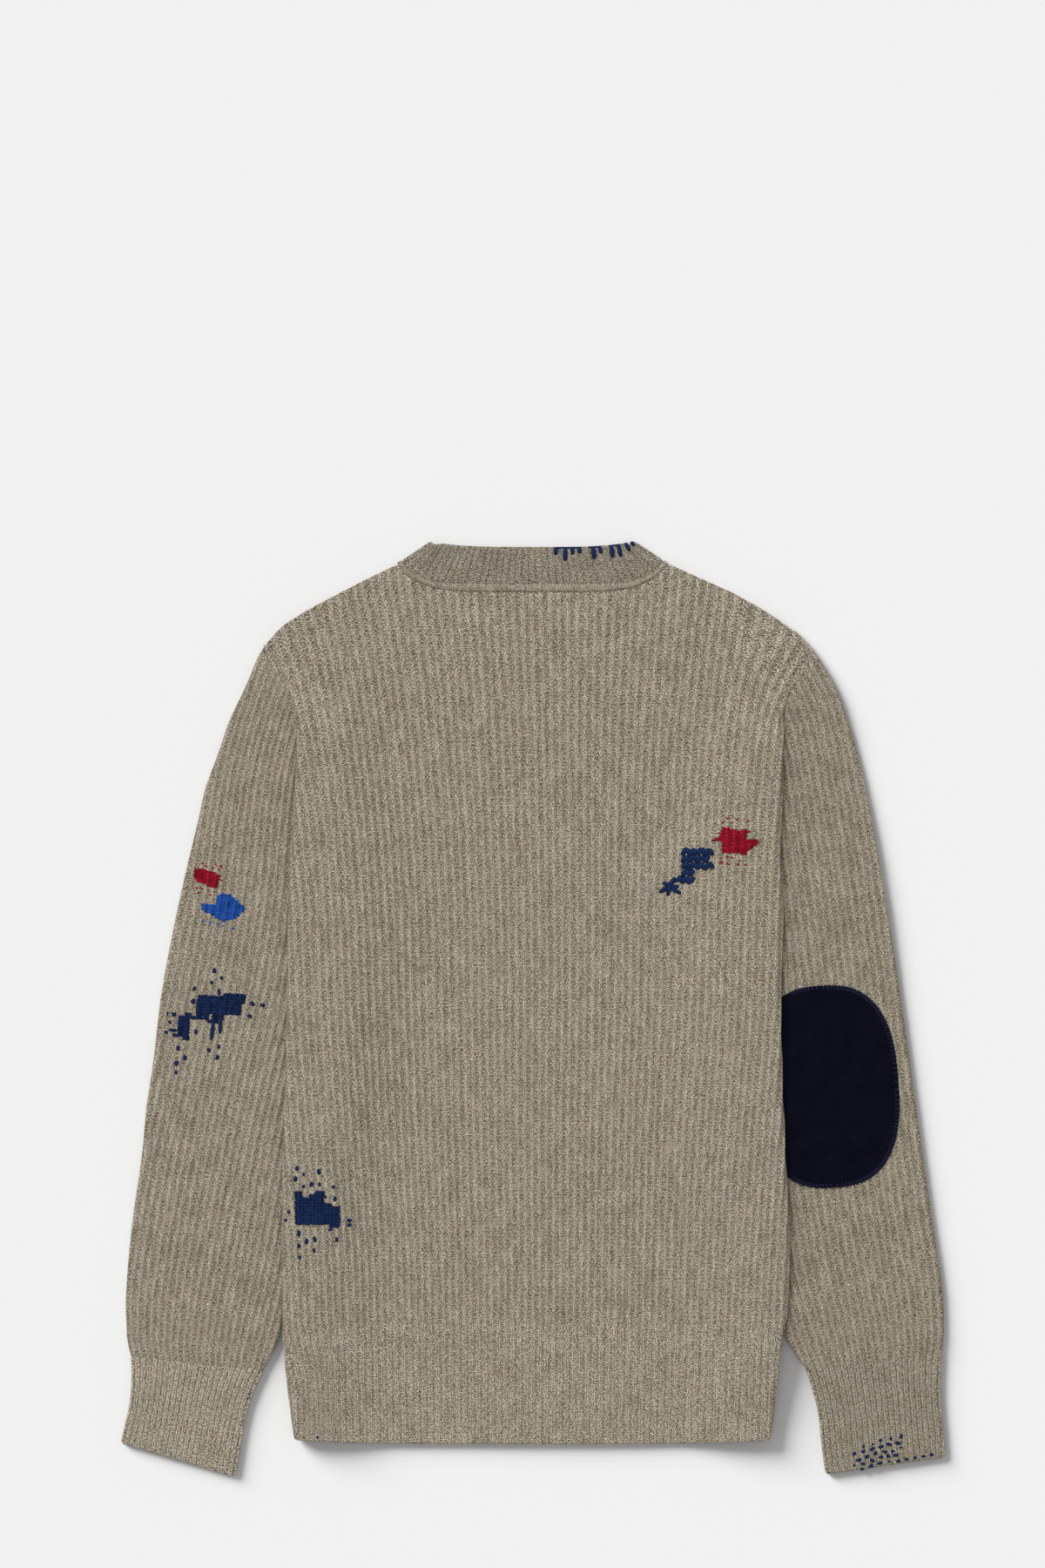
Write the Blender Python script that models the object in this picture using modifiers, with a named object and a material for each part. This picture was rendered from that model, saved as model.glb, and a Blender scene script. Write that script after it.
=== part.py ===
"""A darned wool sweater that lies flat on its front, with its back up.

The body is a tube of two panels and two hem ribs. Its sides are turned under, so that the sleeves
come out from beneath them: from the floor up, a side is a sleeve of two layers, the turned strips
of the back and the front, and then the front and the back themselves. In the middle the back lies
straight on the front, which lies on the floor. The neckband and its trim are flattened rings, with
their back halves on top and their front halves under them, down in the front neck.

X is to the right, Y towards the neck, Z up, and the origin is the middle of the box, on the floor.
The tables are in millimetres, and the meshes in metres.
"""

import math
from collections import namedtuple

import bmesh
import bpy
import numpy as np

MM = 0.001

# The cloth and how its layers lie
WALL = 2.2  # ribbed wool, pressed flat by its own weight
TRIM_WALL = 2.4  # the neck trim is a firmer, raised cord of knitting
PATCH_WALL = 1.4  # fine jersey
SEAM_GAP = 0.3  # between pieces that are sewn together
LAYER_GAP = 0.5  # between the back and the front where they lie on each other
LAYER = WALL + LAYER_GAP
TUBE_RADIUS = 1.4  # middle of the cloth at the folds of a flattened sleeve, cuff or neckband
TUBE_HEIGHT = 2 * TUBE_RADIUS + WALL
FRONT_FOLD = 1.6  # middle of the front's cloth where a side turns under
BACK_FOLD = FRONT_FOLD + LAYER
UNDER_SLEEVE = TUBE_HEIGHT + SEAM_GAP  # height of the turned strips over the floor
UNDER_PATCH = PATCH_WALL + SEAM_GAP  # added where the elbow patch lies under the side
MIDDLE_LEVEL = WALL / 2 + LAYER  # middle of the back's cloth where it lies on the front
RAMP = 60  # width over which a raised side comes down to the middle

# Where the sides begin to turn under, and where they lie on the floor again below the sleeves
RISE_START, RISE_END = 254, 204
TURN_START, TURN_END = 235, 193
DROP_START, DROP_END = -256, -320
EDGE_ANGLE, EDGE_RADIUS = math.radians(12), 20  # how a panel dips to its seam above the turn
TURN_ROOM = 1.8  # between the two panels where they are half turned
PATCH_RISE_TOP, PATCH_RISE_BOTTOM = (70, 28), (-184, -142)

HEM_SEAM, HEM_BOTTOM, HEM_SAG, HEM_HALF = -237.6, -325, 4.2, 190

# Visible side edges of the body, and the width of the strip that is turned under
BodyRow = namedtuple("BodyRow", "y left right strip")
BODY_ROWS = (
    BodyRow(284.5, -206.4, 199.0, 3),
    BodyRow(273.2, -203.6, 204.5, 3),
    BodyRow(260.0, -198.3, 212.2, 3),
    BodyRow(251.0, -191.2, 203.5, 3),
    BodyRow(242.0, -185.1, 195.2, 3),
    BodyRow(235.0, -181.2, 192.0, 3),
    BodyRow(217.8, -177.6, 190.3, 3),
    BodyRow(193.0, -178.3, 189.3, 5),
    BodyRow(160.0, -179.4, 188.8, 13),
    BodyRow(116.0, -182.5, 186.8, 29),
    BodyRow(71.0, -184.4, 189.6, 39),
    BodyRow(18.0, -185.2, 188.6, 37),
    BodyRow(-54.0, -186.6, 190.8, 30),
    BodyRow(-120.0, -189.0, 193.2, 20),
    BodyRow(-180.0, -189.1, 194.4, 13),
    BodyRow(-226.0, -189.1, 192.8, 11),
    BodyRow(-250.0, -188.6, 189.2, 11),
    BodyRow(-288.0, -185.1, 184.5, 10),
    BodyRow(-328.0, -180.0, 180.0, 10),
)

# Wales of the panels: they fan out towards the shoulders
WaleRow = namedtuple("WaleRow", "y pitch")
WALE_ROWS = (
    WaleRow(337, 7.05),
    WaleRow(269, 6.73),
    WaleRow(203, 6.22),
    WaleRow(137, 5.94),
    WaleRow(71, 5.78),
    WaleRow(5, 5.72),
    WaleRow(-94, 5.46),
    WaleRow(-193, 5.24),
    WaleRow(-328, 5.10),
)

# Courses of the panels, given by their height at the side edges; the first is the shoulder tip
COURSES = (262, 250, 239, 229, 220, 211, 202, 193, 160, 116, 71, 22, -30, -85, -138, -188)

# Shoulder edges, from the armhole to the neck
ShoulderPoint = namedtuple("ShoulderPoint", "x y")
LEFT_SHOULDER = (
    ShoulderPoint(-203.6, 273.2),
    ShoulderPoint(-191.1, 289.1),
    ShoulderPoint(-170.0, 302.3),
    ShoulderPoint(-144.9, 315.5),
    ShoulderPoint(-125.7, 325.4),
    ShoulderPoint(-102.6, 336.6),
)
RIGHT_SHOULDER = (
    ShoulderPoint(199.0, 284.5),
    ShoulderPoint(193.7, 289.1),
    ShoulderPoint(174.6, 302.3),
    ShoulderPoint(150.8, 315.5),
    ShoulderPoint(128.4, 325.4),
    ShoulderPoint(103.0, 337.0),
)

# Neck: half widths and heights of the lines that its rings lie between
NeckLine = namedtuple("NeckLine", "half_width side_y back_y back_power front_y")
PANEL_NECK = NeckLine(102.8, 336.8, 315.5, 6, 238.6)
TRIM_OUTER = NeckLine(102.2, 337.4, 316.1, 6, 239.2)
TRIM_INNER = NeckLine(99.2, 339.3, 321.7, 8, 245.2)
BAND_BASE = NeckLine(98.7, 339.8, 322.2, 8, 245.7)
BAND_TOP = NeckLine(76.8, 354.2, 349.8, 4, 281.0)
NECK_ANGLES = (0, 22.5, 45, 67.5, 90)  # from the shoulder to the middle
NECK_FOLD = (0.54, 0.84)  # direction in which the folds at the sides of the neck face

# Sleeves: each section runs from the outer fold to the inner fold
TubeRow = namedtuple("TubeRow", "outer_x outer_y inner_x inner_y")
LEFT_SLEEVE = (
    TubeRow(-204.6, 273.6, -140.1, 71.0),
    TubeRow(-227.4, 223.1, -141.5, 60.0),
    TubeRow(-241.9, 183.5, -143.5, 48.0),
    TubeRow(-253.1, 143.9, -146.0, 34.0),
    TubeRow(-265.0, 91.0, -149.5, 12.0),
    TubeRow(-276.5, 38.0, -154.0, -15.0),
    TubeRow(-284.6, -14.5, -159.5, -47.0),
    TubeRow(-291.0, -67.0, -166.0, -85.0),
    TubeRow(-297.5, -120.0, -173.0, -127.0),
    TubeRow(-304.0, -172.0, -180.5, -172.0),
    TubeRow(-308.9, -219.0, -187.5, -222.0),
    TubeRow(-308.0, -247.0, -190.6, -250.0),
    TubeRow(-304.2, -262.5, -203.6, -273.0),
)
RIGHT_SLEEVE = (
    TubeRow(200.4, 285.2, 145.3, 71.0),
    TubeRow(222.5, 256.8, 146.0, 60.0),
    TubeRow(239.0, 217.5, 147.5, 48.0),
    TubeRow(250.5, 170.3, 149.5, 34.0),
    TubeRow(261.0, 117.5, 152.0, 12.0),
    TubeRow(271.0, 59.0, 155.0, -15.0),
    TubeRow(278.7, 5.0, 160.0, -47.0),
    TubeRow(286.5, -52.0, 167.0, -85.0),
    TubeRow(294.5, -110.0, 174.0, -127.0),
    TubeRow(303.0, -170.0, 181.0, -172.0),
    TubeRow(311.3, -219.0, 188.0, -222.0),
    TubeRow(311.6, -245.0, 189.5, -248.0),
    TubeRow(309.9, -260.0, 207.0, -273.0),
)
ARMHOLE_FADE = 3  # sections over which a sleeve goes from its armhole curve to straight
ARMHOLE_COURSES = (262, 250, 238, 222, 193, 160, 116)  # heights of its points below the tip
ARMHOLE_GAP = 0.8  # the sleeve and the body's edge are both facets, so they keep a little more

LEFT_CUFF = (
    TubeRow(-304.1, -263.0, -203.9, -273.5),
    TubeRow(-303.3, -279.0, -212.0, -290.0),
    TubeRow(-304.6, -297.0, -217.5, -308.0),
    TubeRow(-308.0, -313.0, -221.5, -330.0),
    TubeRow(-311.9, -328.7, -225.2, -354.2),
)
RIGHT_CUFF = (
    TubeRow(309.8, -260.5, 207.3, -273.5),
    TubeRow(308.6, -279.0, 212.5, -289.0),
    TubeRow(308.8, -296.0, 217.0, -306.0),
    TubeRow(310.8, -318.0, 219.0, -330.0),
    TubeRow(312.5, -339.2, 222.1, -352.4),
)

# Elbow patch, a rounded oblong on the right sleeve that runs in under the body
PATCH_MIDDLE = (223.0, -58.7)
PATCH_HALF = (54.0, 76.5)
PATCH_POWER = 2.6
PATCH_TURN = math.radians(4)
PATCH_SIDES = 28

ARC_STEPS = 4  # facets round each fold
SHOULDER_STEPS = 6  # facets from the corner of the neck to the armhole
TUBE_STEPS = 8  # facets across each side of a flattened tube

WOOL = (0.283, 0.246, 0.188)
RIB_WOOL = (0.291, 0.254, 0.195)
BAND_WOOL = (0.235, 0.205, 0.159)
NAVY = (0.0048, 0.0052, 0.0110)


def smooth(start, end, value):
    """0 at start, 1 at end, with a level run-out at both."""
    share = min(max((value - start) / (end - start), 0), 1)
    return share * share * (3 - 2 * share)


def read(rows, column, y):
    """The value of a table's column at height y."""
    ordered = sorted(rows, key=lambda row: row.y)
    return float(np.interp(y, [row.y for row in ordered], [getattr(row, column) for row in ordered]))


def shoulder_y(side, x):
    """Height of the shoulder edge at x; side is -1 on the left and 1 on the right."""
    points = sorted(LEFT_SHOULDER if side < 0 else RIGHT_SHOULDER)
    return float(np.interp(x, [point.x for point in points], [point.y for point in points]))


def neck_y(line, layer, x, angle):
    """Height of a neck line: at x on the back (layer 0), or round an ellipse on the front (layer 1)."""
    if layer:
        return line.side_y - (line.side_y - line.front_y) * math.sin(math.radians(angle))
    return line.back_y + (line.side_y - line.back_y) * abs(x / line.half_width) ** line.back_power


# The body: a section across it, from the middle out, round the turned side. The back is layer 0 and
# the front, which lies under it, is layer 1.


def turn(y):
    """How far a side is turned under at height y, from 0 to 1."""
    return smooth(TURN_START, TURN_END, y)


def under_side(side, y):
    """Height of what lies under the turned strip."""
    sleeve = UNDER_SLEEVE * (1 - smooth(DROP_START, DROP_END, y))
    patch = smooth(*PATCH_RISE_TOP, y) * smooth(*PATCH_RISE_BOTTOM, y) if side > 0 else 0
    return sleeve + UNDER_PATCH * patch


def side_rise(side, y):
    """How far the side stands above the middle."""
    whole_rise = WALL / 2 + under_side(side, y) + 2 * BACK_FOLD - MIDDLE_LEVEL
    return smooth(RISE_START, RISE_END, y) * whole_rise


class Side:
    """The turned edge of one course: its round fold and the strip beyond it."""

    def __init__(self, side, y):
        turned = turn(y)
        self.side = side
        self.angle = EDGE_ANGLE + (math.pi - EDGE_ANGLE) * turned
        self.back_radius = BACK_FOLD + (EDGE_RADIUS - BACK_FOLD) * (1 - turned) ** 2
        self.strip = read(BODY_ROWS, "strip", y)
        self.edge = read(BODY_ROWS, "left" if side < 0 else "right", y)
        if self.angle < math.pi / 2:
            reach = self.back_radius * math.sin(self.angle) + self.strip * math.cos(self.angle)
            reach += WALL / 2 * math.sin(self.angle)
        else:
            reach = self.back_radius + WALL / 2
        self.start = self.edge - side * reach
        self.room = TURN_ROOM * 4 * turned * (1 - turned)
        self.rise = max(side_rise(side, y), self.dip(1), self.dip(0) - LAYER)
        self.level = MIDDLE_LEVEL + self.rise
        self.ramp_end = abs(self.start) - (self.strip + 2) * turned

    def dip(self, layer):
        """How far the end of the strip lies below the flat of its layer."""
        radius = self.radius(1, layer)
        return radius * (1 - math.cos(self.angle)) + self.strip * math.sin(self.angle)

    def radius(self, share, layer):
        return self.back_radius - layer * (LAYER + self.room * share)

    def height(self, x):
        """Middle of the back's cloth at x, inside the fold."""
        return MIDDLE_LEVEL + self.rise * smooth(self.ramp_end - RAMP, self.ramp_end, abs(x))

    def fold(self, share, layer):
        """A point of the fold: share runs from 0 to 1 round it."""
        radius = self.radius(share, layer)
        angle = self.angle * share
        x = self.start + self.side * radius * math.sin(angle)
        return x, self.level - self.back_radius + radius * math.cos(angle)

    def turned_strip(self, share, layer):
        """A point of the strip beyond the fold."""
        x, z = self.fold(1, layer)
        length = self.strip * share
        return x + self.side * length * math.cos(self.angle), z - length * math.sin(self.angle)


def wale_x(top_x, top_y, y):
    """Where a wale that starts at (top_x, top_y) is at height y."""
    return top_x * read(WALE_ROWS, "pitch", y) / read(WALE_ROWS, "pitch", top_y)


def shoulder(side):
    return LEFT_SHOULDER if side < 0 else RIGHT_SHOULDER


def half_course(side, edge_y, layer, height_at):
    """Points of half a course, from beside the middle out to the seam at its edge. height_at(column,
    x at the shoulder) gives a column's height on this course; x and z follow from that."""
    edge = Side(side, edge_y)
    points = []
    for column, angle in enumerate(NECK_ANGLES[-2::-1]):
        top_x = PANEL_NECK.half_width * math.cos(math.radians(angle))
        y = height_at(column)
        points.append((side * wale_x(top_x, neck_y(PANEL_NECK, layer, top_x, angle), y), y))
    corner_x = points[-1][0]
    for step in range(1, SHOULDER_STEPS + 1):
        x = corner_x + (edge.start - corner_x) * step / SHOULDER_STEPS
        points.append((x, height_at(len(points))))
    points = [(x, y, edge.height(x) - layer * LAYER) for x, y in points]
    turned = [edge.fold(step / ARC_STEPS, layer) for step in range(1, ARC_STEPS + 1)]
    turned += [edge.turned_strip(share, layer) for share in (0.5, 1)]
    for x, z in turned:
        points.append((x, height_at(len(points)), z))
    return points


def top_heights(side, layer):
    """Height of the top edge at each column of half_course: neck first, then the shoulder."""
    heights = []
    for angle in NECK_ANGLES[-2:0:-1]:
        x = PANEL_NECK.half_width * math.cos(math.radians(angle))
        heights.append(neck_y(PANEL_NECK, layer, x, angle))
    tip = shoulder(side)[0]
    level_course = half_course(side, tip.y, layer, lambda column: PANEL_NECK.side_y)
    return heights + [shoulder_y(side, x) for x, _, _ in level_course[len(heights) :]]


def panel_rows(layer):
    """Rows of points of the back (layer 0) or the front (layer 1), from the shoulders to the hem seam."""
    bottom = HEM_SEAM + SEAM_GAP
    middle_top = neck_y(PANEL_NECK, layer, 0, NECK_ANGLES[-1])
    tops = {side: top_heights(side, layer) for side in (-1, 1)}
    rows = []
    for course in (None, *COURSES, bottom):
        edge_y = {side: shoulder(side)[0].y if course is None else course for side in (-1, 1)}
        share = {side: (edge_y[side] - bottom) / (shoulder(side)[0].y - bottom) for side in (-1, 1)}
        mean = (share[-1] + share[1]) / 2
        halves = {}
        for side in (-1, 1):

            def height_at(column, side=side):
                outward = min(column / (len(NECK_ANGLES) - 2), 1)
                own = mean + (share[side] - mean) * outward
                return bottom + (tops[side][column] - bottom) * own

            halves[side] = half_course(side, edge_y[side], layer, height_at)
        middle = (0, bottom + (middle_top - bottom) * mean, MIDDLE_LEVEL - layer * LAYER)
        rows.append([*halves[-1][::-1], middle, *halves[1]])
    return rows


def hem_rows(layer):
    """Rows of points of a hem rib, from its seam to its lower edge, which sags in the middle."""
    rows = []
    for depth in (0, 1 / 3, 2 / 3, 1):
        edge_y = HEM_SEAM + (HEM_BOTTOM - HEM_SEAM) * depth
        halves = {side: half_course(side, edge_y, layer, lambda column: edge_y) for side in (-1, 1)}
        row = [*halves[-1][::-1], (0, edge_y, MIDDLE_LEVEL - layer * LAYER), *halves[1]]
        rows.append([(x, y - HEM_SAG * depth * (1 - (x / HEM_HALF) ** 4), z) for x, y, z in row])
    return rows


# Flattened tubes: sleeves and cuffs


def tube_ring(places):
    """One ring of a flattened tube over plan points that run from its outer fold to its inner one.
    The folds are half circles that end in the outline."""
    outward = [places[0] - places[1], places[-1] - places[-2]]
    outward = [way / np.linalg.norm(way) for way in outward]
    ends = [place - way * (TUBE_RADIUS + WALL / 2) for place, way in zip(places[[0, -1]], outward)]
    places = [ends[0], *places[1:-1], ends[1]]
    middle = WALL / 2 + TUBE_RADIUS
    ring = []
    for upper, way in ((1, outward[1]), (-1, outward[0])):
        run = places[::upper]
        ring += [(x, y, middle + upper * TUBE_RADIUS) for x, y in run]
        for step in range(1, ARC_STEPS):
            angle = math.pi * step / ARC_STEPS
            x, y = run[-1] + way * TUBE_RADIUS * math.sin(angle)
            ring.append((x, y, middle + upper * TUBE_RADIUS * math.cos(angle)))
    return ring


def armhole(side, row):
    """Plan points of an armhole: beside the body's edge at first, then in under the turned strip."""
    column = "left" if side < 0 else "right"
    places = [(row.outer_x, row.outer_y)]
    for y in ARMHOLE_COURSES:
        if y < TURN_END:
            edge = Side(side, y)
            places.append((edge.start - side * edge.strip, y))
        else:
            places.append((read(BODY_ROWS, column, y) + side * ARMHOLE_GAP, y))
    return np.array([*places, (row.inner_x, row.inner_y)])


def straight(row):
    """Plan points evenly from a section's outer fold to its inner one."""
    outer, inner = np.array((row.outer_x, row.outer_y)), np.array((row.inner_x, row.inner_y))
    return np.array([outer + (inner - outer) * share for share in np.linspace(0, 1, TUBE_STEPS + 1)])


def sleeve_rows(side, table):
    """Rings of a sleeve. The first follows the armhole, and the next ones fade from it."""
    bend = armhole(side, table[0]) - straight(table[0])
    fades = [max(1 - index / ARMHOLE_FADE, 0) for index in range(len(table))]
    return [tube_ring(straight(row) + bend * fade) for row, fade in zip(table, fades)]


def cuff_rows(table):
    return [tube_ring(straight(row)) for row in table]


# Flattened rings: the neckband and its trim


def neck_point(line, wall, side, angle, layer):
    """A point of a neck line; angle runs from the shoulder to the middle."""
    inset = TUBE_RADIUS + wall / 2
    x = line.half_width * math.cos(math.radians(angle))
    y = neck_y(line, layer, x, angle)
    in_from_fold = max(1 - angle / NECK_ANGLES[1], 0) * inset
    level = wall / 2 + (0 if layer else 2 * TUBE_RADIUS)
    return side * (x - in_from_fold * NECK_FOLD[0]), y - in_from_fold * NECK_FOLD[1], level


def neck_ring(line, wall):
    """The closed run of points of one neck line: from the left over the back, and round the front."""
    ring = []
    for layer, first in ((0, -1), (1, 1)):
        for side, angles in ((first, NECK_ANGLES), (-first, NECK_ANGLES[-2::-1])):
            ring += [neck_point(line, wall, side, angle, layer) for angle in angles]
        x, y, level = ring[-1]
        middle_level = wall / 2 + TUBE_RADIUS
        for step in range(1, ARC_STEPS):
            angle = math.pi * step / ARC_STEPS
            out = TUBE_RADIUS * math.sin(angle)
            z = middle_level + (level - middle_level) * math.cos(angle)
            ring.append((x - first * out * NECK_FOLD[0], y + out * NECK_FOLD[1], z))
    return ring


def patch_outline():
    """Corners of the elbow patch, anticlockwise."""
    corners = []
    for step in range(PATCH_SIDES):
        angle = 2 * math.pi * step / PATCH_SIDES
        c, s = math.cos(angle), math.sin(angle)
        x = PATCH_HALF[0] * math.copysign(abs(c) ** (2 / PATCH_POWER), c)
        y = PATCH_HALF[1] * math.copysign(abs(s) ** (2 / PATCH_POWER), s)
        turned_x = x * math.cos(PATCH_TURN) - y * math.sin(PATCH_TURN)
        turned_y = x * math.sin(PATCH_TURN) + y * math.cos(PATCH_TURN)
        corners.append((PATCH_MIDDLE[0] + turned_x, PATCH_MIDDLE[1] + turned_y))
    return corners


# Objects


def clear_scene():
    for item in list(bpy.data.objects):
        bpy.data.objects.remove(item, do_unlink=True)


def make_material(name, colour, roughness):
    material = bpy.data.materials.new(name)
    material.use_nodes = True
    shader = material.node_tree.nodes["Principled BSDF"]
    shader.inputs["Base Color"].default_value = (*colour, 1)
    shader.inputs["Roughness"].default_value = roughness
    shader.inputs["Metallic"].default_value = 0
    material.diffuse_color = (*colour, 1)
    return material


def add_object(name, mesh, wall, material, collection):
    """Puts the open surface in the scene and gives it its wall, half on each side."""
    mesh.materials.append(material)
    item = bpy.data.objects.new(name, mesh)
    collection.objects.link(item)
    solidify = item.modifiers.new("Wall", "SOLIDIFY")
    solidify.thickness = wall * MM
    solidify.offset = 0
    solidify.use_even_offset = True
    solidify.use_quality_normals = True
    return item


def sheet(name, rows, wall, material, collection, closed=False):
    """A surface through rows of points; closed joins each row's last point to its first."""
    bm = bmesh.new()
    grid = [[bm.verts.new((x * MM, y * MM, z * MM)) for x, y, z in row] for row in rows]
    count = len(grid[0])
    for upper, lower in zip(grid, grid[1:]):
        for index in range(count if closed else count - 1):
            after = (index + 1) % count
            bm.faces.new((upper[index], lower[index], lower[after], upper[after]))
    mesh = bpy.data.meshes.new(name)
    bm.to_mesh(mesh)
    bm.free()
    return add_object(name, mesh, wall, material, collection)


def flat_outline(name, corners, level, wall, material, collection):
    """A flat piece with the given corners, its middle at level."""
    bm = bmesh.new()
    bmesh.ops.create_circle(bm, cap_ends=True, cap_tris=True, segments=len(corners), radius=1)
    rim = [vert for vert in bm.verts if vert.is_boundary]
    rim.sort(key=lambda vert: math.atan2(vert.co.y, vert.co.x) % (2 * math.pi))
    for vert, (x, y) in zip(rim, corners):
        vert.co = (x * MM, y * MM, level * MM)
    for vert in bm.verts:
        if not vert.is_boundary:
            vert.co = (PATCH_MIDDLE[0] * MM, PATCH_MIDDLE[1] * MM, level * MM)
    mesh = bpy.data.meshes.new(name)
    bm.to_mesh(mesh)
    bm.free()
    return add_object(name, mesh, wall, material, collection)


def main():
    clear_scene()
    collection = bpy.data.collections.new("darned_wool_sweater")
    bpy.context.scene.collection.children.link(collection)
    wool = make_material("wool", WOOL, 0.95)
    rib_wool = make_material("rib_wool", RIB_WOOL, 0.95)
    band_wool = make_material("band_wool", BAND_WOOL, 0.95)
    patch_jersey = make_material("patch_jersey", NAVY, 0.9)

    sheet("back_panel", panel_rows(0), WALL, wool, collection)
    sheet("front_panel", panel_rows(1), WALL, wool, collection)
    sheet("back_hem_rib", hem_rows(0), WALL, rib_wool, collection)
    sheet("front_hem_rib", hem_rows(1), WALL, rib_wool, collection)
    sheet("left_sleeve", sleeve_rows(-1, LEFT_SLEEVE), WALL, wool, collection, closed=True)
    sheet("right_sleeve", sleeve_rows(1, RIGHT_SLEEVE), WALL, wool, collection, closed=True)
    sheet("left_cuff", cuff_rows(LEFT_CUFF), WALL, rib_wool, collection, closed=True)
    sheet("right_cuff", cuff_rows(RIGHT_CUFF), WALL, rib_wool, collection, closed=True)
    trim = [neck_ring(TRIM_INNER, TRIM_WALL), neck_ring(TRIM_OUTER, TRIM_WALL)]
    sheet("neck_trim", trim, TRIM_WALL, band_wool, collection, closed=True)
    band = [neck_ring(BAND_TOP, WALL), neck_ring(BAND_BASE, WALL)]
    sheet("neckband", band, WALL, band_wool, collection, closed=True)
    patch_level = TUBE_HEIGHT + SEAM_GAP + PATCH_WALL / 2
    flat_outline("elbow_patch", patch_outline(), patch_level, PATCH_WALL, patch_jersey, collection)


main()
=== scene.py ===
"""Looks of a darned wool sweater that lies flat on its front, with its back up.

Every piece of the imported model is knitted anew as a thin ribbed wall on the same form: two body panels
whose sides are turned under, hem ribs, sleeves, cuffs, neckband, neck trim and an elbow patch. Darns,
blanket stitches and the patch's overcast edge are single stitches of yarn laid on the finished cloth.

X is to the right, Y towards the neck, Z up. Tables and shape functions are in millimetres, and
meshes and materials in metres.
"""

import math
from collections import namedtuple

import bpy
import numpy as np
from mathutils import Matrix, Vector
from mathutils.bvhtree import BVHTree


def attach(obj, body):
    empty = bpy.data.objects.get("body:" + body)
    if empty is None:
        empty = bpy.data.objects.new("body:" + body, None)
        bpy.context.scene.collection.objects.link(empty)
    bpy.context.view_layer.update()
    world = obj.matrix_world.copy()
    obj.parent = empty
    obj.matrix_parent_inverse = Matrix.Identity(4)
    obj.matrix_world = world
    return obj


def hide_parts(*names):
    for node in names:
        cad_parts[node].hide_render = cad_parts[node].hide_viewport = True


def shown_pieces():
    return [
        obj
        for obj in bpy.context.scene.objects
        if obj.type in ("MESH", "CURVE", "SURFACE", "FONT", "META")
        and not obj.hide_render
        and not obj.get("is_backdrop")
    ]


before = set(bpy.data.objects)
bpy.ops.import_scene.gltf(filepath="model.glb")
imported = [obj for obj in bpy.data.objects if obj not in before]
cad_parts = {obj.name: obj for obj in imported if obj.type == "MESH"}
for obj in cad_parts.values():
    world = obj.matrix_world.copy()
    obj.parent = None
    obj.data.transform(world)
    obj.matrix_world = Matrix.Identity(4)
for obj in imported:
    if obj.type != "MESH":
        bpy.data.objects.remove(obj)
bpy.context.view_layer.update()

bl_info = {
    "name": "Darned Wool Sweater",
    "version": (1, 0, 0),
    "blender": (4, 5, 0),
    "location": "3D View > Sidebar > Sweater",
    "description": "Knits and mends a ribbed wool sweater that lies flat",
    "category": "Add Mesh",
}

MM = 0.001

# The cloth and how its layers lie. Radii and levels are those of the middle of the wall.
WALL = 2.2
TRIM_WALL = 2.4
PATCH_WALL = 1.4
SEAM_GAP = 0.3
LAYER_GAP = 0.5
LAYER = WALL + LAYER_GAP
TUBE_RADIUS = 1.4  # folds of the sleeves, cuffs and neck
TUBE_HEIGHT = 2 * TUBE_RADIUS + WALL
TUBE_MIDDLE = TUBE_HEIGHT / 2
FRONT_FOLD = 1.6  # radius of the front where it turns under at the sides
BACK_FOLD = FRONT_FOLD + LAYER
UNDER_SLEEVE = TUBE_HEIGHT + SEAM_GAP
UNDER_PATCH = PATCH_WALL + SEAM_GAP
MIDDLE_LEVEL = WALL / 2 + LAYER  # the back over the flat middle of the body
RAMP = 60  # width over which the body rises to what lies under its sides

# Heights between which the sides rise, turn under, and come down on the floor again below the sleeves
RISE_START, RISE_END = 254, 204
TURN_START, TURN_END = 235, 193
DROP_START, DROP_END = -256, -320
EDGE_ANGLE, EDGE_RADIUS = math.radians(12), 20  # how the edges lean down where they aren't turned
PATCH_RISE_TOP, PATCH_RISE_BOTTOM = (70, 28), (-184, -142)  # where the right side makes room for the patch

UNDERARM = 71
PANEL_TOP, TOP_GUESS = 337, 300  # top of the shoulders, and the height from which their edges are looked for
PANEL_REACH, SHOULDER_START = 206, 250  # half width of the shoulders' outline, and the height that it starts from
HEM_SEAM, HEM_BOTTOM, HEM_SAG, HEM_HALF = -237.6, -325, 4.2, 190
HEM_GAP = 0.04  # left between the panels' and the hem ribs' rows of points
SEAM_DIP, SEAM_DIP_START, SEAM_DIP_END = 16, -150, -187  # the hem seam drops at its left end

# Visible side edges of the body, and the width of the strip that is turned under
BodyRow = namedtuple("BodyRow", "y left right strip")
BODY_ROWS = (
    BodyRow(-328.0, -180.0, 180.0, 10),
    BodyRow(-288.0, -185.1, 184.5, 10),
    BodyRow(-250.0, -188.6, 189.2, 11),
    BodyRow(-226.0, -189.1, 192.8, 11),
    BodyRow(-180.0, -189.1, 194.4, 13),
    BodyRow(-120.0, -189.0, 191.6, 20),
    BodyRow(-54.0, -186.6, 188.7, 30),
    BodyRow(18.0, -185.2, 187.4, 37),
    BodyRow(71.0, -184.4, 189.6, 39),
    BodyRow(116.0, -182.5, 186.8, 29),
    BodyRow(160.0, -179.4, 188.8, 13),
    BodyRow(193.0, -178.3, 189.3, 5),
    BodyRow(217.8, -177.6, 190.3, 3),
    BodyRow(235.0, -181.2, 192.0, 3),
    BodyRow(242.0, -185.1, 195.2, 3),
    BodyRow(251.0, -191.2, 203.5, 3),
    BodyRow(260.0, -198.3, 212.2, 3),
    BodyRow(273.2, -203.6, 204.5, 3),
    BodyRow(284.5, -206.4, 199.0, 3),
)

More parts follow.
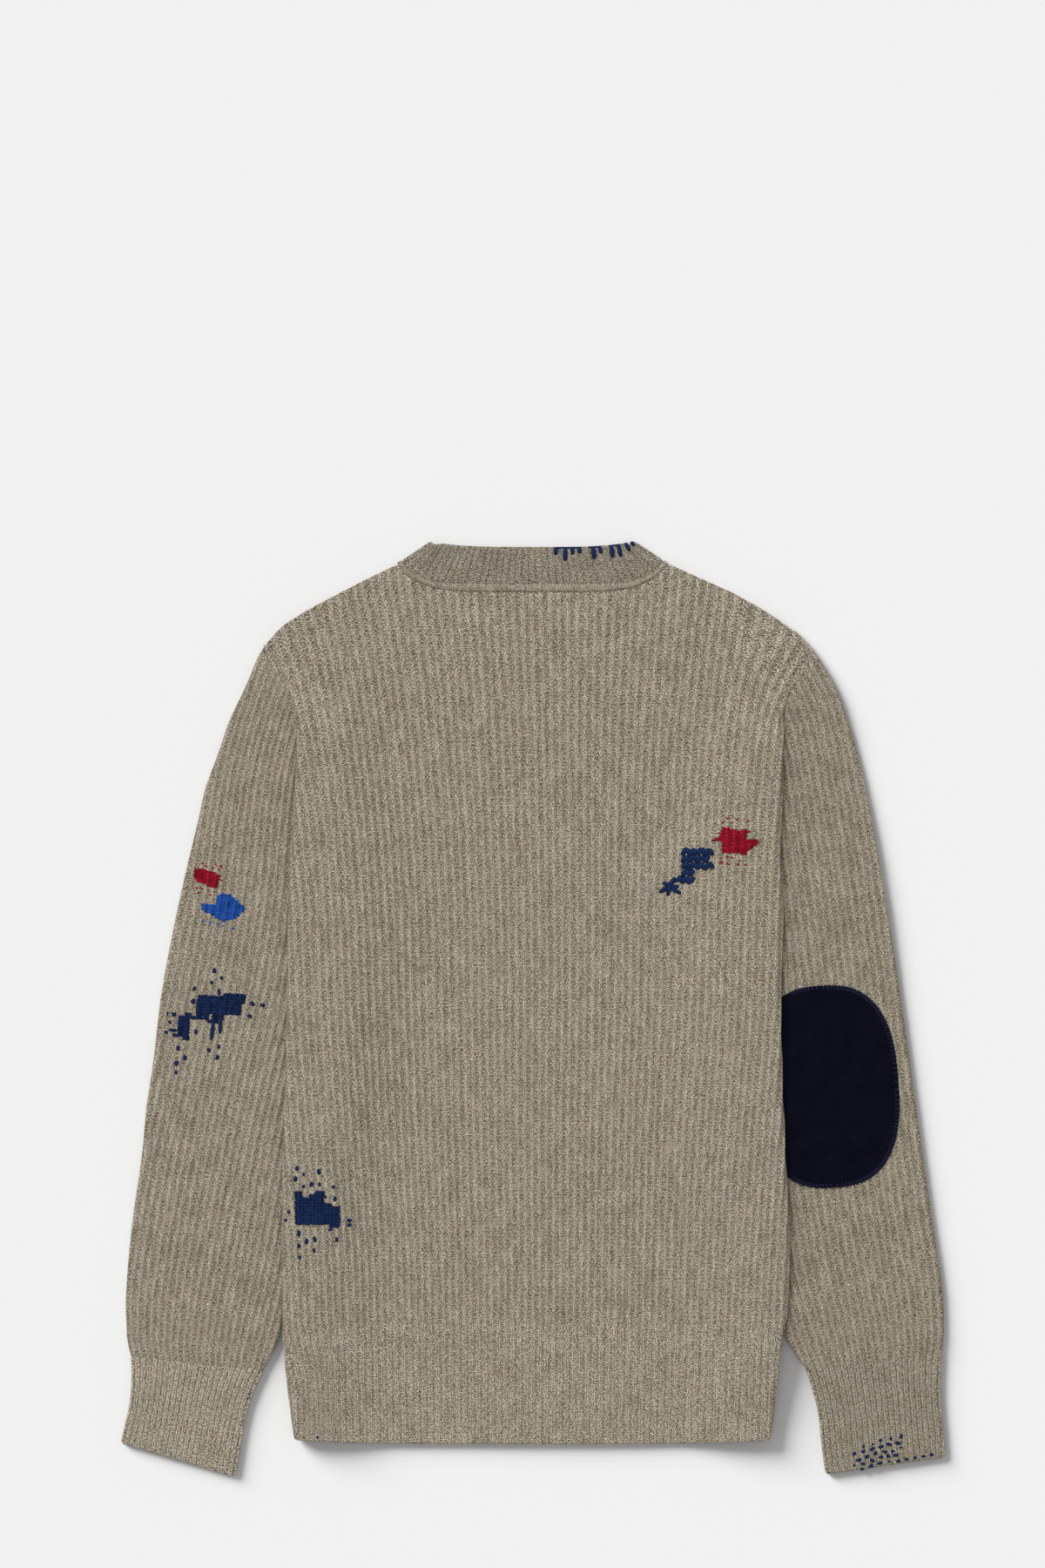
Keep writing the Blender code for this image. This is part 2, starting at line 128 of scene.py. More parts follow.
# Wales of the panels: they fan out towards the shoulders
WaleRow = namedtuple("WaleRow", "y pitch middle")
WALE_ROWS = (
    WaleRow(-328, 5.10, 0.0),
    WaleRow(-193, 5.24, 0.5),
    WaleRow(-94, 5.46, -0.5),
    WaleRow(5, 5.72, 0.0),
    WaleRow(71, 5.78, -0.5),
    WaleRow(137, 5.94, -2.0),
    WaleRow(203, 6.22, -4.0),
    WaleRow(269, 6.64, -6.0),
    WaleRow(337, 7.20, -9.0),
)
HALF_WALES = 43

# Shoulder edges, from the armhole to the neck
EdgePoint = namedtuple("EdgePoint", "x y")
LEFT_SHOULDER = (
    EdgePoint(-203.6, 273.2),
    EdgePoint(-191.1, 289.1),
    EdgePoint(-170.0, 302.3),
    EdgePoint(-144.9, 315.5),
    EdgePoint(-125.7, 325.4),
    EdgePoint(-102.6, 336.6),
)
RIGHT_SHOULDER = (
    EdgePoint(103.0, 337.0),
    EdgePoint(128.4, 325.4),
    EdgePoint(150.8, 315.5),
    EdgePoint(174.6, 302.3),
    EdgePoint(193.7, 289.1),
    EdgePoint(199.0, 284.5),
)

# Neck: half widths and heights of the lines that its rings lie between
NeckLine = namedtuple("NeckLine", "half_width side_y back_y back_power front_y")
PANEL_NECK = NeckLine(102.8, 336.8, 315.5, 6, 238.6)
TRIM_OUTER = NeckLine(102.6, 336.9, 315.6, 6, 238.8)
TRIM_INNER = NeckLine(99.0, 339.6, 322.0, 8, 245.6)
BAND_BASE = NeckLine(98.9, 339.5, 321.4, 8, 244.9)
BAND_TOP = NeckLine(76.8, 354.2, 349.8, 4, 281.0)
NECK_FOLD = (0.54, 0.84)
BAND_RIBS = 37
BAND_SPREAD = 0.08  # how far the band's ribs run out over its sides
FOLD_STEPS = 9  # points round each side fold of the neck's rings

# Sleeves: outline of the outer fold, tilt of the sections across the sleeve in degrees, wale pitch, and the
# wale that runs on the fold there
SleeveRow = namedtuple("SleeveRow", "x y tilt pitch wale")
LEFT_SLEEVE = (
    SleeveRow(-204.6, 273.6, 20, 4.8, 0.0),
    SleeveRow(-227.4, 223.1, 18, 5.0, -0.9),
    SleeveRow(-242.8, 183.6, 16, 5.2, -1.7),
    SleeveRow(-253.9, 144.0, 14, 5.5, -2.5),
    SleeveRow(-265.0, 91.0, 12, 5.8, -3.0),
    SleeveRow(-276.5, 38.0, 10.5, 5.9, -3.2),
    SleeveRow(-284.6, -14.5, 9, 5.8, -2.8),
    SleeveRow(-291.0, -67.0, 8, 5.7, -2.1),
    SleeveRow(-297.5, -120.0, 7.5, 5.7, -1.4),
    SleeveRow(-304.0, -172.0, 7, 5.7, -0.9),
    SleeveRow(-308.9, -219.0, 6.5, 5.5, -0.7),
    SleeveRow(-308.9, -247.0, 6, 5.1, -0.7),
    SleeveRow(-304.2, -262.5, 6, 4.7, -0.7),
)
RIGHT_SLEEVE = (
    SleeveRow(200.4, 285.2, 24, 5.7, 0.0),
    SleeveRow(224.2, 257.5, 21, 5.6, -0.2),
    SleeveRow(240.6, 218.0, 18, 5.5, -0.6),
    SleeveRow(251.1, 170.5, 14, 5.6, -1.0),
    SleeveRow(261.6, 117.6, 12, 5.7, -1.2),
    SleeveRow(271.9, 59.1, 10, 5.8, -1.5),
    SleeveRow(279.7, 5.1, 8.5, 5.8, -1.7),
    SleeveRow(287.6, -52.0, 7.5, 5.8, -1.7),
    SleeveRow(295.6, -110.0, 7, 5.8, -1.7),
    SleeveRow(304.3, -170.0, 6.5, 5.8, -1.7),
    SleeveRow(312.4, -219.0, 6.5, 5.6, -1.7),
    SleeveRow(312.5, -245.0, 7, 5.15, -1.7),
    SleeveRow(309.9, -260.0, 7.3, 4.8, -1.7),
)
# Inner folds of the sleeves, from the underarm to the cuff
LEFT_INNER = (
    EdgePoint(-140.1, UNDERARM),
    EdgePoint(-146.0, 34.0),
    EdgePoint(-154.0, -15.0),
    EdgePoint(-166.0, -85.0),
    EdgePoint(-180.5, -172.0),
    EdgePoint(-187.5, -222.0),
    EdgePoint(-191.2, -250.0),
    EdgePoint(-203.6, -273.0),
)
RIGHT_INNER = (
    EdgePoint(145.3, UNDERARM),
    EdgePoint(149.5, 34.0),
    EdgePoint(155.0, -15.0),
    EdgePoint(167.0, -85.0),
    EdgePoint(181.0, -172.0),
    EdgePoint(188.0, -222.0),
    EdgePoint(190.6, -248.0),
    EdgePoint(207.0, -273.0),
)

CuffRow = namedtuple("CuffRow", "outer_x outer_y inner_x inner_y")
LEFT_CUFF = (
    CuffRow(-304.1, -262.7, -203.8, -273.2),
    CuffRow(-303.3, -279.0, -212.0, -290.0),
    CuffRow(-304.6, -297.0, -217.5, -308.0),
    CuffRow(-308.0, -313.0, -221.5, -330.0),
    CuffRow(-311.9, -328.7, -225.2, -354.2),
)
RIGHT_CUFF = (
    CuffRow(309.8, -260.2, 207.2, -273.2),
    CuffRow(308.6, -279.0, 212.5, -289.0),
    CuffRow(308.8, -296.0, 217.0, -306.0),
    CuffRow(310.8, -318.0, 219.0, -330.0),
    CuffRow(312.5, -339.2, 222.1, -352.4),
)
CUFF_RIBS = 22
CUFF_CORNER = 2.2  # how far the corners of a cuff's lower edge are rounded in
SLEEVE_WALES = (-4, 34)  # first and last wale on each half of a sleeve, which counts them from near its outer fold

PATCH_MIDDLE = (223.0, -58.7)
PATCH_HALF = (54.0, 76.5)
PATCH_POWER = 2.6
PATCH_TURN = math.radians(4)
PATCH_SEWN = 3.3  # distance of the sewing from the patch's edge
PATCH_RIM_STEPS = np.array((0, 0.3, 0.8, 1.5, 2.2, 2.8, PATCH_SEWN, 3.9, 5.0))

# Overcasting round the patch, as far in as the body leaves the patch free
OVERCAST_COUNT, OVERCAST_INSET, OVERCAST_SLANT, OVERCAST_START_X = 170, 1.4, 62, 196
OVERCAST_LENGTH, OVERCAST_THICK = 4.6, 1.3

EDGE_STEPS = np.array((0, 0.4, 1.0, 1.9, 3.2))  # extra rows of points along every cut edge
# Millimetres over which the corners of the tables' lines are rounded
EDGE_SOFTNESS, WALE_SOFTNESS, SLEEVE_SOFTNESS, CUFF_SOFTNESS = 6, 20, 25, 8
BODY_RIB, HEM_RIB, CUFF_RIB, BAND_RIB = 5.7, 5.1, 4.3, 5.3  # rib widths that the materials are drawn for
SEAMED = 0.97  # how much of the wall's thickness is left along a seam
HALF_EDGE = 0.12  # half the wall's thickness where it is rounded off to nothing
FORM_MEAN = 0.4  # what the forms of the ribs are on average
INNER_SHARE = 0.7  # how much of the ribs' relief the inside follows
# Radius and least thickness of the edges of the sheets
SEAM_EDGE, SIDE_EDGE, SHOULDER_EDGE, HEM_EDGE = (0.4, SEAMED), (1.6, 0.6), (2.2, 0.4), (1.5, 0)


def smooth(start, end, value):
    """0 at start, 1 at end, with a level run-out at both."""
    share = np.clip((value - start) / (end - start), 0, 1)
    return share * share * (3 - 2 * share)


def columns(rows, *names):
    """Columns of a table, with a row for each of its rows."""
    return np.array([[getattr(row, name) for name in names] for row in rows], float)


def rounded(x, places, values, softness):
    """Values between the places of a run, with its corners rounded over softness mm on both sides."""
    return np.mean([np.interp(x + shift * softness, places, values) for shift in (-1, -0.5, 0, 0.5, 1)], axis=0)


def read(rows, name, y, softness):
    """The value of a table's column at heights y, rounded as above."""
    heights, values = columns(rows, "y", name).T
    order = np.argsort(heights)
    return rounded(y, heights[order], values[order], softness)


def pitch(y):
    """Width of a rib of the panels at height y."""
    return read(WALE_ROWS, "pitch", y, WALE_SOFTNESS)


def wale_arc(wales, y):
    """How far from the middle of a panel each wale runs at height y."""
    return wales * pitch(y) + read(WALE_ROWS, "middle", y, WALE_SOFTNESS)


def visible_edge(side, y):
    """Distance of the body's visible side edge from its middle line."""
    return np.abs(read(BODY_ROWS, "left" if side < 0 else "right", y, EDGE_SOFTNESS))


def turned(x, y, angle):
    """A place turned about the origin by an angle in radians."""
    c, s = math.cos(angle), math.sin(angle)
    return x * c - y * s, x * s + y * c


def edged_rows(length, count):
    """Distances of rows of points from a sheet's top edge, closer together along both edges."""
    margin = EDGE_STEPS[-1]
    return np.concatenate([EDGE_STEPS[:-1], np.linspace(margin, length - margin, count), length - EDGE_STEPS[-2::-1]])


def rib_form(count):
    """1 on top of each rib and 0 in the furrows between them."""
    return (0.5 + 0.5 * np.cos(2 * math.pi * count)) ** 1.4


def split_form(count):
    """Ribs whose two rows of stitch legs stand apart, with a groove down the middle."""
    side = np.abs((count + 0.5) % 1 - 0.5)
    return smooth(0.34, 0.2, side) * (1 - 0.7 * smooth(0.1, 0, side))


def edge_form(distance, radius, least=0.0):
    """Rounds an edge: least on it and 1 from radius inwards."""
    inward = np.clip(distance / radius, 0, 1)
    return least + (1 - least) * np.sqrt(np.clip(1 - (1 - inward) ** 2, 0, 1))


# The wall of the cloth


def wall_faces(rim, rib=0.0, relief=0.0, wall=WALL):
    """Distances of the wall's two faces from its middle. rim rounds the edges, and rib is 0 on average."""
    flat = HALF_EDGE + (wall / 2 - HALF_EDGE) * rim
    return flat + relief * rib * rim, flat - relief * INNER_SHARE * rib * rim


def wale_uv(count, rib_width, y):
    """Texture places in metres: across the ribs by their count, and along the wales."""
    return np.stack([count * rib_width, np.broadcast_to(y, count.shape)], axis=-1) * MM


def welded_faces(faces, weld):
    """The faces that are left when points fall together, as quads and triangles."""
    corners = weld[faces]
    same = corners == np.roll(corners, -1, axis=1)
    crossed = (corners[:, 0] == corners[:, 2]) | (corners[:, 1] == corners[:, 3])
    count = same.sum(axis=1)
    quads = faces[(count == 0) & ~crossed]
    thin = faces[count == 1]
    keep = ~np.roll(same[count == 1], 1, axis=1)
    triangles = thin[keep].reshape(-1, 3)
    return quads, triangles


def point_normals(places, weld, count, quads, triangles):
    """Unit normals of the welded points, each the mean of its faces' by their area."""
    normals = np.zeros((count, 3))
    for faces in (quads, triangles):
        if len(faces):
            corner = places[faces]
            ways = np.cross(corner[:, 2] - corner[:, 0], corner[:, -1] - corner[:, 1])
            if faces.shape[1] == 3:
                ways = np.cross(corner[:, 1] - corner[:, 0], corner[:, 2] - corner[:, 0])
            for index in range(faces.shape[1]):
                np.add.at(normals, weld[faces[:, index]], ways)
    return normals / np.maximum(np.linalg.norm(normals, axis=1, keepdims=True), 1e-12)


def open_edges(groups, weld, count):
    """Directed edges, as pairs of grid points, that only one face has."""
    edges = np.concatenate([
        np.stack([faces, np.roll(faces, -1, axis=1)], axis=-1).reshape(-1, 2) for faces in groups if len(faces)
    ])
    ends = weld[edges]
    forward = ends[:, 0] * count + ends[:, 1]
    backward = ends[:, 1] * count + ends[:, 0]
    return edges[~np.isin(forward, backward)]


def cloth(name, places, uv, above, below, side=-1):
    """A closed thin wall round a grid of points on the middle of the cloth, which are in millimetres.
    above and below are the distances to its two faces. uv is in metres along the cloth. A grid whose side
    is 1 runs the other way."""
    if side > 0:
        places, uv, above, below = (grid[:, ::-1] for grid in (places, uv, above, below))
    rows, columns = places.shape[:2]
    places, uv = places.reshape(-1, 3), uv.reshape(-1, 2)
    _, first, weld = np.unique(np.round(places * 1000).astype(np.int64), axis=0, return_index=True,
                               return_inverse=True)
    weld, count = weld.ravel(), len(first)
    index = np.arange(rows * columns).reshape(rows, columns)
    faces = np.stack([index[:-1, :-1], index[1:, :-1], index[1:, 1:], index[:-1, 1:]], axis=-1).reshape(-1, 4)
    quads, triangles = welded_faces(faces, weld)
    normals = point_normals(places, weld, count, quads, triangles)
    upper = places[first] + normals * above.ravel()[first, None]
    lower = places[first] - normals * below.ravel()[first, None]
    upper[:, 2], lower[:, 2] = np.maximum(upper[:, 2], 0), np.maximum(lower[:, 2], 0)
    rim = open_edges((quads, triangles), weld, count)
    rim_faces = np.concatenate([weld[rim[:, ::-1]], weld[rim] + count], axis=1)
    corners, loops = [], []
    for group in (quads, triangles):
        corners += [weld[group], weld[group][:, ::-1] + count]
        loops += [group, group[:, ::-1]]
    corners.append(rim_faces)
    loops.append(np.concatenate([rim[:, ::-1], rim], axis=1))
    mesh = bpy.data.meshes.new(name)
    mesh.from_pydata(np.concatenate([upper, lower]) * MM, [], [face for group in corners for face in group.tolist()])
    layer = mesh.uv_layers.new(name="UVMap")
    layer.data.foreach_set("uv", uv[np.concatenate([group.ravel() for group in loops])].ravel())
    mesh.shade_smooth()
    mesh.validate()
    item = bpy.data.objects.new(name, mesh)
    bpy.context.scene.collection.objects.link(item)
    return item


# The body


class Side:
    """The turned edge at heights y: its round fold and the strip beyond it."""

    def __init__(self, side, y):
        self.side = side
        self.turned = smooth(TURN_START, TURN_END, y)
        self.angle = EDGE_ANGLE + (math.pi - EDGE_ANGLE) * self.turned
        self.back_radius = BACK_FOLD + (EDGE_RADIUS - BACK_FOLD) * (1 - self.turned) ** 2
        self.strip = read(BODY_ROWS, "strip", y, EDGE_SOFTNESS)
        gentle = self.back_radius * np.sin(self.angle) + self.strip * np.cos(self.angle)
        gentle += WALL / 2 * np.sin(self.angle)
        # The edge that shows is the end of the strip where it only leans down, and else the fold
        reach = np.where(self.angle < math.pi / 2, gentle, self.back_radius + WALL / 2)
        self.start = visible_edge(side, y) - reach
        under = UNDER_SLEEVE * (1 - smooth(DROP_START, DROP_END, y))
        if side > 0:
            under = under + UNDER_PATCH * smooth(*PATCH_RISE_TOP, y) * smooth(*PATCH_RISE_BOTTOM, y)
        rise = smooth(RISE_START, RISE_END, y) * (WALL / 2 + under + 2 * BACK_FOLD - MIDDLE_LEVEL)
        self.rise = np.maximum(rise, np.maximum(self.dip(1), self.dip(0) - LAYER))
        self.ramp_end = self.start - (self.strip + 2) * self.turned

    def radius(self, layer):
        """Radius of the fold in the middle of a layer's cloth: layer is 0 for the back and 1 for the front."""
        return self.back_radius - layer * LAYER

    def dip(self, layer):
        """How far the end of the strip lies below the flat of its layer."""
        return self.radius(layer) * (1 - np.cos(self.angle)) + self.strip * np.sin(self.angle)

    def length(self, layer):
        """Length of the cloth from the middle of the body to the end of the strip."""
        return self.start + self.radius(layer) * self.angle + self.strip

    def place(self, arc, layer):
        """x and z at arc mm along the cloth from the middle of the body."""
        radius = self.radius(layer)
        bend = np.clip((arc - self.start) / radius, 0, self.angle)
        beyond = np.maximum(arc - self.start - radius * self.angle, 0)
        x = np.minimum(arc, self.start) + radius * np.sin(bend) + beyond * np.cos(self.angle)
        level = MIDDLE_LEVEL + self.rise * smooth(self.ramp_end - RAMP, self.ramp_end, arc)
        z = level - layer * LAYER - radius * (1 - np.cos(bend)) - beyond * np.sin(self.angle)
        return self.side * x, z


def body_places(arc, y, layer):
    """Places of a panel's cloth: arc is the way along it from the middle, negative on the left."""
    left, right = Side(-1, y), Side(1, y)
    on_left = arc < 0
    left_x, left_z = left.place(np.abs(arc), layer)
    right_x, right_z = right.place(np.abs(arc), layer)
    x, z = np.where(on_left, left_x, right_x), np.where(on_left, left_z, right_z)
    return np.stack([x, y, z + drape(x, y, layer)], axis=-1)


# Soft ridges in the back, from (x, y) to (end_x, end_y)
Crease = namedtuple("Crease", "x y end_x end_y width height")
CREASES = (
    Crease(-150, 258, -118, 120, 16, 0.9),
    Crease(150, 262, 128, 110, 18, 1.1),
    Crease(168, 210, 150, 40, 11, 0.8),
    Crease(-60, 300, -40, 170, 30, 0.6),
    Crease(72, 296, 36, 190, 26, 0.7),
    Crease(-120, -60, -70, -210, 24, 0.8),
    Crease(96, -40, 118, -200, 22, 0.7),
    Crease(-20, 40, 10, -150, 34, 0.6),
    Crease(-140, 60, -150, -90, 14, 0.7),
)


def crease_height(x, y):
    """Height of the ridges at a place."""
    height = np.zeros_like(x)
    for crease in CREASES:
        way = np.array((crease.end_x - crease.x, crease.end_y - crease.y))
        length = np.hypot(*way)
        way = way / length
        along = (x - crease.x) * way[0] + (y - crease.y) * way[1]
        across = (x - crease.x) * way[1] - (y - crease.y) * way[0]
        share = np.clip(along / length, -0.3, 1.3)
        fade = smooth(-0.3, 0.35, share) * smooth(1.3, 0.65, share)
        height = height + crease.height * fade * np.exp(-((across / crease.width) ** 2))
    return height


def drape(x, y, layer):
    """How far the resting cloth stands off from lying quite flat."""
    if layer:
        return np.zeros_like(x)
    waves = 0.25 * np.sin(x / 31 + 1.3 * np.sin(y / 83)) * np.sin(y / 57 + 0.8)
    waves += 0.2 * np.sin(x / 17 - y / 44) * np.sin(y / 35 + x / 90)
    return crease_height(x, y) + 0.45 + waves


def neck_y(line, x, layer):
    """Height of a neck line at x."""
    out = np.clip(np.abs(x / line.half_width), 0, 1)
    if layer:
        return line.side_y - (line.side_y - line.front_y) * np.sqrt(1 - out**2)
    return line.back_y + (line.side_y - line.back_y) * out**line.back_power


def top_y(x, layer):
    """Height of a panel's top edge at x: the neck, and the shoulders beside it."""
    shoulders = rounded(x, *columns(LEFT_SHOULDER + RIGHT_SHOULDER, "x", "y").T, EDGE_SOFTNESS)
    return np.where(np.abs(x) < PANEL_NECK.half_width, neck_y(PANEL_NECK, x, layer), shoulders)


def hem_seam_y(x, layer):
    """Height of the hem's seam at x, the same for both layers."""
    return HEM_SEAM - SEAM_DIP * smooth(SEAM_DIP_START, SEAM_DIP_END, x)


def hem_bottom_y(x, layer):
    """Height of the hem's lower edge at x, the same for both layers."""
    return HEM_BOTTOM - HEM_SAG * (1 - np.clip(x / HEM_HALF, -1, 1) ** 4)


# Where the back's wales are pulled aside: how far, the heights between which it grows, the edge it starts from,
# the way in from that edge, and how far in it reaches
Pull = namedtuple("Pull", "shift start_y end_y edge_x inward reach")
PULLS = (
    Pull(26, 214, 288, RIGHT_SHOULDER[-1].x + 6, -1, 60),
    Pull(-9, 200, 280, LEFT_SHOULDER[0].x, 1, 50),
    Pull(10, HEM_SEAM + 4, HEM_SEAM - 52, -190, 1, 48),
)


def lean(base, y, layer):
    """How far the wales are pulled aside at a way along the back's cloth from its middle."""
    if layer:
        return np.zeros_like(base)
    return sum(
        pull.shift * smooth(pull.start_y, pull.end_y, y) * smooth(pull.reach, 0, pull.inward * (base - pull.edge_x))
        for pull in PULLS
    )


def level_heights(wales, edge, layer, start):
    """Heights at which the wales cross an edge that is given as a function of x and the layer."""
    y = np.full(len(wales), float(start))
    for _ in range(12):
        base = wale_arc(wales, y)
        x = np.clip(base + lean(base, y, layer), LEFT_SHOULDER[0].x, RIGHT_SHOULDER[-1].x)
        y = (y + edge(x, layer)) / 2
    return y


def body_sheet(name, layer, form, rib_width, steps, tops, bottoms, row_count, relief, ends):
    """A panel or a hem rib of the body; tops and bottoms are its edges' heights at each wale, and ends are
    the radius and least thickness of its top and bottom edges."""

    def with_sides(values):
        """Repeats the first and last column for the extra columns along the sides."""
        rows = ((0, 0),) * (values.ndim - 1)
        return np.pad(values, (*rows, (len(EDGE_STEPS) - 1,) * 2), mode="edge")

    wales = np.arange(-HALF_WALES * steps, HALF_WALES * steps + 1) / steps
    top, bottom = tops(wales), bottoms(wales)
    margin = EDGE_STEPS[-1]
    levels = np.linspace(top.max() - margin, bottom.min() + margin, row_count)
    inner = np.clip(levels[:, None], bottom + margin, top - margin)
    y = with_sides(np.concatenate([top - EDGE_STEPS[:-1, None], inner, bottom + EDGE_STEPS[-2::-1, None]]))
    left, right = Side(-1, y).length(layer), Side(1, y).length(layer)
    base = wale_arc(with_sides(wales), y)
    arc = np.clip(base + lean(base, y, layer), -left + margin, right - margin)
    for index, inset in enumerate(EDGE_STEPS[:-1]):
        arc[:, index] = -left[:, index] + inset
        arc[:, -1 - index] = right[:, -1 - index] - inset
    base = arc
    for _ in range(8):
        base = arc - lean(base, y, layer)
    count = (base - wale_arc(0, y)) / pitch(y)
    from_side = np.where(arc < 0, left + arc, right - arc)
    top_line, bottom_line = with_sides(top), with_sides(bottom)
    (top_radius, top_least), (bottom_radius, bottom_least) = ends
    rim = edge_form(top_line - y, top_radius, top_least) * edge_form(y - bottom_line, bottom_radius, bottom_least)
    rim = rim * edge_form(from_side, *SIDE_EDGE)
    rib = (form(count) - FORM_MEAN) * smooth(0, 4, from_side)
    rib = rib * smooth(0, 2, np.minimum(top_line - y, y - bottom_line))
    faces = wall_faces(rim, rib, relief)
    return cloth(name, body_places(arc, y, layer), wale_uv(count, rib_width, y), *(faces[::-1] if layer else faces))


def panel(name, layer, steps_per_rib, row_count, relief):
    """The back or the front, from the shoulders to the hem's seam."""
    return body_sheet(
        name, layer, rib_form, BODY_RIB, steps_per_rib,
        lambda wales: level_heights(wales, top_y, layer, TOP_GUESS),
        lambda wales: level_heights(wales, hem_seam_y, layer, HEM_SEAM),
        row_count, relief, (SHOULDER_EDGE, SEAM_EDGE),
    )


def hem(name, layer, steps_per_rib, row_count, relief):
    """The hem rib below the back or the front."""
    return body_sheet(
        name, layer, split_form, HEM_RIB, steps_per_rib,
        lambda wales: level_heights(wales, hem_seam_y, layer, HEM_SEAM) - HEM_GAP,
        lambda wales: level_heights(wales, hem_bottom_y, layer, HEM_BOTTOM),
        row_count, relief, (SEAM_EDGE, HEM_EDGE),
    )


# Sleeves and cuffs: flattened tubes


def along(points, count):
    """count shares of the way along a run of points, with the points' own shares."""
    steps = np.hypot(*np.diff(points, axis=0).T)
    way = np.concatenate([[0], np.cumsum(steps)])
    return np.linspace(0, way[-1], count), way


def soft_interp(x, places, values, softness):
    """Values between places with rounded corners, which keeps the values of both ends."""
    ends = smooth(0, softness, x - places[0]) * smooth(0, softness, places[-1] - x)
    return np.interp(x, places, values) * (1 - ends) + rounded(x, places, values, softness) * ends


def first_hit(start, way, line):
    """Distance from start along way to a line of places, and the share of the line where it is met."""
    offset = line[:, :2] - start
    across = way[0] * offset[:, 1] - way[1] * offset[:, 0]
    hits = np.nonzero(across[:-1] * across[1:] <= 0)[0]
    best = (math.inf, 0.0)
    for index in hits:
        share = across[index] / (across[index] - across[index + 1] + 1e-12)
        place = offset[index] + (offset[index + 1] - offset[index]) * share
        distance = float(place @ way)
        if 0 < distance < best[0]:
            best = (distance, index + share)
    return best


def armhole_line(side):
    """Seam of a sleeve on the body, from the shoulder tip to the underarm."""
    tip = LEFT_SHOULDER[0] if side < 0 else RIGHT_SHOULDER[-1]
    y = np.linspace(tip.y, UNDERARM, 60)
    edge = Side(side, y)
    x, z = edge.place(edge.length(0), 0)
    return np.stack([x, y, z - LAYER * edge.turned], axis=-1)


def tube_place(arc, width, closed):
    """Distance in from the outer fold, and height over the tube's middle, at arc mm from that fold."""
    flat = np.maximum(width - (2 if closed else 1) * TUBE_RADIUS, 0)
    bend = np.clip(arc / TUBE_RADIUS, 0, math.pi / 2)
    level = np.clip(arc - TUBE_RADIUS * math.pi / 2, 0, flat)
    inner = np.clip((arc - TUBE_RADIUS * math.pi / 2 - flat) / TUBE_RADIUS, 0, math.pi / 2) if closed else 0
    distance = TUBE_RADIUS * (1 - np.cos(bend)) + level + TUBE_RADIUS * np.sin(inner)
    height = TUBE_RADIUS * np.sin(bend) * np.cos(inner)
    return distance, height


def tube_reach(width, closed):
    """Length of cloth from the outer fold to the seam."""
    if closed:
        return TUBE_RADIUS * math.pi + max(width - 2 * TUBE_RADIUS, 0)
    if width < TUBE_RADIUS:
        return TUBE_RADIUS * math.acos(1 - width / TUBE_RADIUS)
    return TUBE_RADIUS * math.pi / 2 + width - TUBE_RADIUS


# Depth and width of what the body's edge presses into a sleeve: a wide dent in the cloth and a groove in the knit
DENT, GROOVE = (0.6, 2.4), (0.85, 1.4)


def trough(side, x, y, depth, width):
    """How deep a sleeve is pressed in beside the edge of the body that lies on it."""
    beside = side * x - visible_edge(side, y)
    return depth * np.exp(-(((beside - 0.5) / width) ** 2)) * smooth(225, 195, y)


